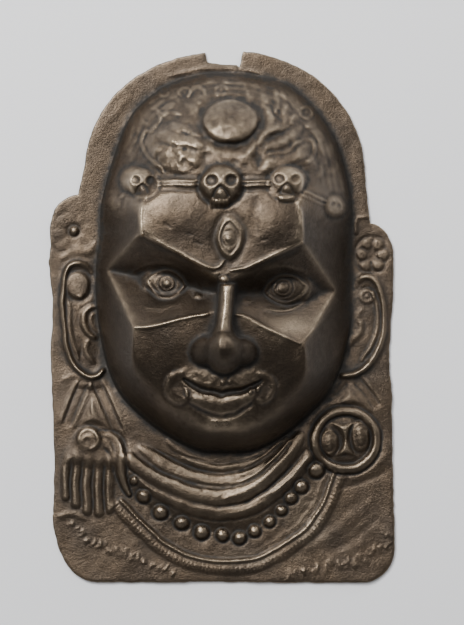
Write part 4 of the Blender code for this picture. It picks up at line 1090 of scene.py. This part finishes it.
def tone_maps(x, y, rise, depth_in, to_edge, spacing):
    """Maps from 0 to 1: wear where the metal stands above its neighbours, dirt where it lies below
    them, painted shade over the face, and dullness with painted shade on the steep walls, all with
    their spots, which are mostly painted light, shade, shadow and highlights."""
    fine = rise - soften(rise, 0.9 / spacing)
    broad = rise - soften(rise, 3.2 / spacing)
    wear_and_painted_highlight = np.clip(0.5 * fine + 0.2 * broad - 0.03, 0, 1)
    wear_and_painted_highlight = np.maximum(wear_and_painted_highlight, 0.5 * np.maximum(1 - np.maximum(to_edge, 0) / 0.9, 0))
    dirt_and_painted_shadow = np.clip(-2.1 * fine - 0.3 * broad - 0.06, 0, 1)
    y_slope, x_slope = np.gradient(soften(rise, 1.5 / spacing), spacing)
    steep = smooth_step(0.7, 1.7, np.hypot(x_slope, y_slope))
    # Painted shade: the head below the brows is darkened, as if it lay in shade
    painted_face_shade = smooth_step(-4, 10, depth_in) * smooth_step(66, 40, y)
    on_head = smooth_step(0, 2, depth_in)
    crown = on_head * smooth_step(70, 84, y)
    lump = smooth_step(1.2, 0.8, np.hypot((x + 25) / 15, (y - 95) / 14))
    # Painted shade with a duller skin: the steep walls of the head are darkened and roughened, and
    # the crown less so
    dull_and_painted_shade = on_head * steep * (1 - 0.7 * lump) * (1 - 0.9 * crown) + 0.5 * crown * (1 - lump)
    # Less of this painted shade on the lower wall at either side of the chin
    dull_and_painted_shade *= 1 - 0.7 * smooth_step(-38, -52, y) * smooth_step(12, 28, np.abs(x))
    # Painted shade: the nose tip, the steep face walls and the cheek edges keep little of the
    # lighter worn colour
    nose_tip = np.exp(-(np.hypot((x - 1.5) / 18, (y + 20) / 11) ** 4))
    wear_and_painted_highlight = np.clip(wear_and_painted_highlight * (1 - 0.8 * nose_tip) + spots(x, y, WEAR_AND_HIGHLIGHT_SPOTS), 0, 1)
    wear_and_painted_highlight = wear_and_painted_highlight * (1 - 0.8 * on_head * steep * smooth_step(60, 40, y))
    wear_and_painted_highlight *= 1 - 0.85 * smooth_step(-4, -14, y) * smooth_step(32, 38, np.abs(x)) * on_head
    return {"wear_and_painted_highlight": wear_and_painted_highlight, "dirt_and_painted_shadow": np.clip(dirt_and_painted_shadow + spots(x, y, DIRT_AND_SHADOW_SPOTS), 0, 1),
            "painted_face_shade": np.clip(painted_face_shade + spots(x, y, PAINTED_LIGHT_SPOTS), 0, 1),
            "dull_and_painted_shade": np.clip(dull_and_painted_shade + spots(x, y, DULL_AND_SHADE_SPOTS), 0, 1)}


def smooth_normals(mesh, x_slope, y_slope, chosen):
    """Gives the chosen vertices the slope of the fine relief, so that no facet shows."""
    normals = np.empty(len(mesh.vertices) * 3, np.float32)
    mesh.vertex_normals.foreach_get("vector", normals)
    normals = normals.reshape(-1, 3)
    fine = np.column_stack([-x_slope, -y_slope, np.ones(len(x_slope))])
    fine /= np.linalg.norm(fine, axis=1)[:, None]
    normals[chosen] = fine[chosen]
    mesh.normals_split_custom_set_from_vertices(normals)


def build_mask(settings):
    """The sheet: its front from the relief, its back sunk under that by the wall."""
    module = (HIGH[1] - LOW[1]) / SHEET_MODULES
    spacing = settings.lattice / module
    rim = torn_outline()
    low, high = rim.min(0) - spacing, rim.max(0) + spacing
    xs = np.arange(low[0], high[0] + spacing, spacing)
    ys = np.arange(low[1], high[1] + spacing, spacing)
    x_all, y_all = np.meshgrid(xs, ys)
    rise, depth_in = carve(xs, ys)
    wall = settings.wall
    scale = (HIGH[2] - LOW[2] - wall) / rise.max()
    to_edge = inside_by(x_all, y_all, rim)
    front = wall + rise * scale
    back = np.maximum(sink(front, settings.lattice, wall), 0)
    front -= BEVEL_DEPTH * np.maximum(1 - np.maximum(to_edge, 0) / BEVEL_WIDTH, 0) ** 2
    mesh = thin_out(sheet_mesh(xs * module, ys * module, front, back, rim * module),
                    settings.triangles)
    points = np.empty(len(mesh.vertices) * 3, np.float32)
    mesh.vertices.foreach_get("co", points)
    x, y, z = points.reshape(-1, 3).T

    def at_points(values):
        return sample(values, xs, ys, x / module, y / module)

    is_front = z > (at_points(front) + at_points(back)) / 2
    for name, values in tone_maps(x_all, y_all, rise, depth_in, to_edge, spacing).items():
        layer = mesh.attributes.new(name, "FLOAT", "POINT")
        picked = np.where(is_front, at_points(values), 0.0)
        layer.data.foreach_set("value", picked.astype(np.float32))
    mesh.shade_smooth()
    y_slope, x_slope = np.gradient(front, spacing * module)
    away_from_edge = is_front & (at_points(to_edge) > 1)
    smooth_normals(mesh, at_points(x_slope), at_points(y_slope), away_from_edge)
    mask = bpy.data.objects.new("mask_relief", mesh)
    bpy.context.scene.collection.objects.link(mask)
    return mask


# Finish

class Wiring:
    """Adds nodes to a material's tree; each method gives the new node's output."""

    def __init__(self, tree):
        self.tree = tree
        self.place = tree.nodes.new("ShaderNodeTexCoord").outputs["Object"]

    def plug(self, value, socket):
        """Links an output to a socket, or sets the socket to a plain value."""
        if isinstance(value, bpy.types.NodeSocket):
            self.tree.links.new(value, socket)
        else:
            socket.default_value = value

    def node(self, kind, inputs, output=0, **options):
        """Any node, with its options, and its inputs by name or number."""
        made = self.tree.nodes.new(kind)
        for option, value in options.items():
            setattr(made, option, value)
        for name, value in inputs.items():
            self.plug(value, made.inputs[name])
        return made.outputs[output]

    def maths(self, operation, *values, clamp=False):
        return self.node("ShaderNodeMath", dict(enumerate(values)), operation=operation,
                         use_clamp=clamp)

    def times(self, a, b, clamp=False):
        return self.maths("MULTIPLY", a, b, clamp=clamp)

    def plus(self, a, b, clamp=False):
        return self.maths("ADD", a, b, clamp=clamp)

    def minus(self, a, b, clamp=False):
        return self.maths("SUBTRACT", a, b, clamp=clamp)

    def mix(self, share, a, b):
        """Colour a where the share is 0, colour b where it is 1."""
        return self.node("ShaderNodeMix", {0: share, 6: a, 7: b}, 2, data_type="RGBA")

    def noise(self, scale, detail, roughness=0.55):
        return self.node("ShaderNodeTexNoise", {"Vector": self.place, "Scale": scale,
                                                "Detail": detail, "Roughness": roughness})

    def spread(self, value, low, high):
        """The value stretched so that low becomes 0 and high becomes 1."""
        return self.node("ShaderNodeMapRange", {"Value": value, "From Min": low, "From Max": high})

    def painted(self, name):
        """A value that the points of the mesh carry."""
        return self.node("ShaderNodeAttribute", {}, "Fac", attribute_name=name)


def bronze(settings):
    """Dark patina over copper alloy: rubbed bright on the high edges, with painted highlights,
    matt dirt in the grooves, and painted shade and shadow.
    """
    material = bpy.data.materials.new("dark bronze")
    material.use_nodes = True
    shader = material.node_tree.nodes["Principled BSDF"]
    w = Wiring(material.node_tree)
    wear_and_painted_highlight, dirt_and_painted_shadow, painted_face_shade, dull_and_painted_shade = (w.painted(name) for name in ("wear_and_painted_highlight", "dirt_and_painted_shadow", "painted_face_shade", "dull_and_painted_shade"))
    clouds = w.spread(w.noise(38, 4), 0.36, 0.66)
    mottle = w.spread(w.noise(210, 5, 0.65), 0.35, 0.68)
    specks = w.spread(w.noise(800, 3, 0.7), 0.42, 0.62)
    worn_and_highlit = w.times(wear_and_painted_highlight, w.plus(mottle, 0.55), True)
    dirt_and_shadow_fill = w.times(dirt_and_painted_shadow, w.plus(mottle, 0.6), True)

    # Colour: the patina in clouds, darker with painted shade, then specks of grime, bare metal
    # with painted highlights, and dirt with painted shadow
    patina, grime_and_shadow, bare = (*settings.patina, 1), (*settings.grime_and_shadow, 1), (*settings.metal, 1)
    browner = tuple(c * f for c, f in zip(patina, (1.5, 1.42, 1.3, 1)))
    # The colour of the painted shade: the patina at half its brightness
    shade_colour = tuple(c * f for c, f in zip(patina, (0.5, 0.5, 0.5, 1)))
    shaded = w.plus(w.times(painted_face_shade, 0.45), w.times(dull_and_painted_shade, 0.4), True)
    shaded_patina = w.mix(shaded, w.mix(clouds, patina, browner), shade_colour)
    stained = w.mix(w.times(mottle, 0.3), shaded_patina, grime_and_shadow)
    speckled = w.mix(w.times(specks, 0.3), stained, grime_and_shadow)
    bare_and_highlit = w.mix(w.times(worn_and_highlit, 0.9, True), speckled, bare)
    w.plug(w.mix(dirt_and_shadow_fill, bare_and_highlit, grime_and_shadow), shader.inputs["Base Color"])

    # Gloss: rougher in mottled, dull and dirty places, smoother where it is worn and where
    # highlights are painted
    rough = w.maths("MULTIPLY_ADD", mottle, 0.12, settings.roughness)
    rough = w.minus(rough, w.times(worn_and_highlit, 0.12))
    rough = w.plus(rough, w.times(dull_and_painted_shade, 0.12))
    w.plug(w.plus(rough, w.times(dirt_and_shadow_fill, 0.3), True), shader.inputs["Roughness"])
    w.plug(w.minus(0.96, w.times(dirt_and_shadow_fill, 0.55), True), shader.inputs["Metallic"])

    # Bumps: grain, mottle and specks stand up, and small pits are sunk where it is mottled
    pits = w.node("ShaderNodeTexVoronoi", {"Vector": w.place, "Scale": 520.0}, "Distance")
    hollowed = w.times(w.minus(1.0, w.spread(pits, 0.0, 0.28)), mottle)
    height = w.plus(w.noise(1500, 4, 0.6), w.times(mottle, 0.5))
    height = w.minus(w.plus(height, w.times(specks, 0.35)), w.times(hollowed, 0.8))
    bump = w.node("ShaderNodeBump", {"Height": height, "Strength": settings.grain,
                                     "Distance": 0.00035}, "Normal")
    w.plug(bump, shader.inputs["Normal"])
    return material


# The stage

def area_light(name, place, target, size, power):
    """A rectangle of light at a place, turned to face the target."""
    lamp = bpy.data.lights.new(name, "AREA")
    lamp.shape = "RECTANGLE"
    lamp.size, lamp.size_y = size
    lamp.energy = power
    thing = bpy.data.objects.new(name, lamp)
    thing.location = place
    gaze = np.array(target, float) - np.array(place, float)
    gaze /= np.linalg.norm(gaze)
    turn = math.atan2(gaze[1], gaze[0]) - math.pi / 2
    thing.rotation_euler = (math.acos(-gaze[2]), 0, turn)
    thing.visible_camera = False
    bpy.context.scene.collection.objects.link(thing)


def table(settings):
    """A wide square of matt card, level with the lowest point of the mask."""
    half = settings.table / 2
    corners = [(-half, -half, 0), (half, -half, 0), (half, half, 0), (-half, half, 0)]
    mesh = bpy.data.meshes.new("table")
    mesh.from_pydata(corners, [], [(0, 1, 2, 3)])
    card = bpy.data.materials.new("pale card")
    card.use_nodes = True
    shader = card.node_tree.nodes["Principled BSDF"]
    shader.inputs["Base Color"].default_value = (*settings.card, 1)
    shader.inputs["Roughness"].default_value = 0.9
    shader.inputs["Specular IOR Level"].default_value = 0.1
    mesh.materials.append(card)
    floor = bpy.data.objects.new("table", mesh)
    bpy.context.scene.collection.objects.link(floor)
    return floor


def light_and_camera(settings):
    """Light from all round, five lamps, and a camera that looks straight down."""
    world = bpy.data.worlds.new("room")
    world.use_nodes = True
    background = world.node_tree.nodes["Background"]
    background.inputs["Color"].default_value = (0.95, 0.97, 1.0, 1)
    background.inputs["Strength"].default_value = settings.room
    bpy.context.scene.world = world
    lights = (
        ("key", (-0.72, 0.95, 1.15), (0.75, 0.5), settings.key),
        ("overhead", (-0.5, 0.6, 1.85), (1.4, 0.9), settings.overhead),
        ("low right", (1.0, 1.35, 0.5), (0.8, 0.5), settings.low_right),
        ("far side", (0.35, 1.55, 0.5), (2.6, 0.7), settings.far_side),
        ("fill", (1.3, 0.5, 1.2), (0.5, 0.9), settings.fill),
    )
    for name, place, size, power in lights:
        area_light(name, place, (0, 0, 0.03), size, power)
    view = bpy.data.cameras.new("above")
    view.lens = settings.camera_height * view.sensor_width / settings.view_height
    view.clip_end = settings.camera_height * 3
    camera = bpy.data.objects.new("above", view)
    camera.location = (*settings.aim, settings.camera_height)
    bpy.context.scene.collection.objects.link(camera)
    bpy.context.scene.camera = camera


# Settings, operators and panel

class MaskSettings(bpy.types.PropertyGroup):
    lattice: FloatProperty(
        name="Lattice", description="Spacing of the points where the relief is worked out",
        default=0.0005, min=0.0003, max=0.003, unit="LENGTH", precision=5)
    wall: FloatProperty(
        name="Wall", description="Thickness of the metal", default=0.002, min=0.0005, max=0.006,
        unit="LENGTH", precision=4)
    triangles: IntProperty(
        name="Triangles", description="Triangles left on the finished relief", default=190000,
        min=20000, max=199000)
    patina: FloatVectorProperty(
        name="Patina", description="Colour of the dark skin of the metal", subtype="COLOR",
        default=(0.085, 0.065, 0.048), min=0, max=1)
    # The bare metal colour also paints the highlight spots of the wear map
    metal: FloatVectorProperty(
        name="Metal", description="Colour of the alloy where wear has bared it", subtype="COLOR",
        default=(0.36, 0.285, 0.2), min=0, max=1)
    # The grime colour also paints the shadow spots of the dirt map
    grime_and_shadow: FloatVectorProperty(
        name="Grime", description="Colour of the dirt in the grooves", subtype="COLOR",
        default=(0.018, 0.015, 0.012), min=0, max=1)
    roughness: FloatProperty(
        name="Roughness", description="Roughness of the patina", subtype="FACTOR", default=0.3,
        min=0, max=1)
    grain: FloatProperty(
        name="Grain", description="Strength of the fine bumps in the metal", subtype="FACTOR",
        default=0.42, min=0, max=1)


class StageSettings(bpy.types.PropertyGroup):
    table: FloatProperty(
        name="Table", description="Width of the table", default=3.0, min=0.5, unit="LENGTH")
    card: FloatVectorProperty(
        name="Card", description="Colour of the table", subtype="COLOR",
        default=(0.74, 0.74, 0.75), min=0, max=1)
    camera_height: FloatProperty(
        name="Camera height", description="Height of the camera above the table", default=4.0,
        min=0.5, unit="LENGTH")
    view_height: FloatProperty(
        name="View height", description="Height of the view where it meets the table",
        default=0.3524, min=0.05, unit="LENGTH", precision=4)
    aim: FloatVectorProperty(
        name="Aim", description="Place under the camera", size=2, default=(0.0059, 0.0025),
        unit="LENGTH", precision=4)
    key: FloatProperty(
        name="Key", description="Power of the light at the upper left", default=34, min=0,
        unit="POWER")
    overhead: FloatProperty(
        name="Overhead", description="Power of the wide light above", default=26, min=0,
        unit="POWER")
    far_side: FloatProperty(
        name="Far side", description="Power of the low, wide light beyond the crown", default=10,
        min=0, unit="POWER")
    low_right: FloatProperty(
        name="Low right", description="Power of the low light beyond the right temple", default=9,
        min=0, unit="POWER")
    fill: FloatProperty(
        name="Fill", description="Power of the light at the right", default=3, min=0,
        unit="POWER")
    room: FloatProperty(
        name="Room", description="Strength of the light from all round", default=0.25, min=0)


class MASK_OT_relief(bpy.types.Operator):
    """Carve the mask and give it its bronze"""
    bl_idname = "mask.relief"
    bl_label = "Carve Mask"
    bl_options = {"REGISTER", "UNDO"}

    def execute(self, context):
        settings = context.scene.mask_settings
        mask = build_mask(settings)
        mask.data.materials.append(bronze(settings))
        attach(mask, "root")
        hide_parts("mask")
        return {"FINISHED"}


class MASK_OT_stage(bpy.types.Operator):
    """Add the table, the lights and the camera"""
    bl_idname = "mask.stage"
    bl_label = "Add Stage"
    bl_options = {"REGISTER", "UNDO"}

    def execute(self, context):
        settings = context.scene.stage_settings
        table(settings)
        light_and_camera(settings)
        return {"FINISHED"}


class MASK_PT_panel(bpy.types.Panel):
    bl_idname = "MASK_PT_panel"
    bl_label = "Processional Mask"
    bl_space_type = "VIEW_3D"
    bl_region_type = "UI"
    bl_category = "Mask"

    def draw(self, context):
        for group, operator in (("mask_settings", "mask.relief"),
                                ("stage_settings", "mask.stage")):
            settings = getattr(context.scene, group)
            box = self.layout.box()
            for name in settings.__annotations__:
                box.prop(settings, name)
            box.operator(operator)


CLASSES = (MaskSettings, StageSettings, MASK_OT_relief, MASK_OT_stage, MASK_PT_panel)


def register():
    for item in CLASSES:
        bpy.utils.register_class(item)
    bpy.types.Scene.mask_settings = PointerProperty(type=MaskSettings)
    bpy.types.Scene.stage_settings = PointerProperty(type=StageSettings)


def unregister():
    del bpy.types.Scene.stage_settings
    del bpy.types.Scene.mask_settings
    for item in reversed(CLASSES):
        bpy.utils.unregister_class(item)


def main():
    """Makes the mask and its stage."""
    register()
    bpy.ops.mask.relief()
    bpy.ops.mask.stage()


if __name__ == "__main__":
    main()
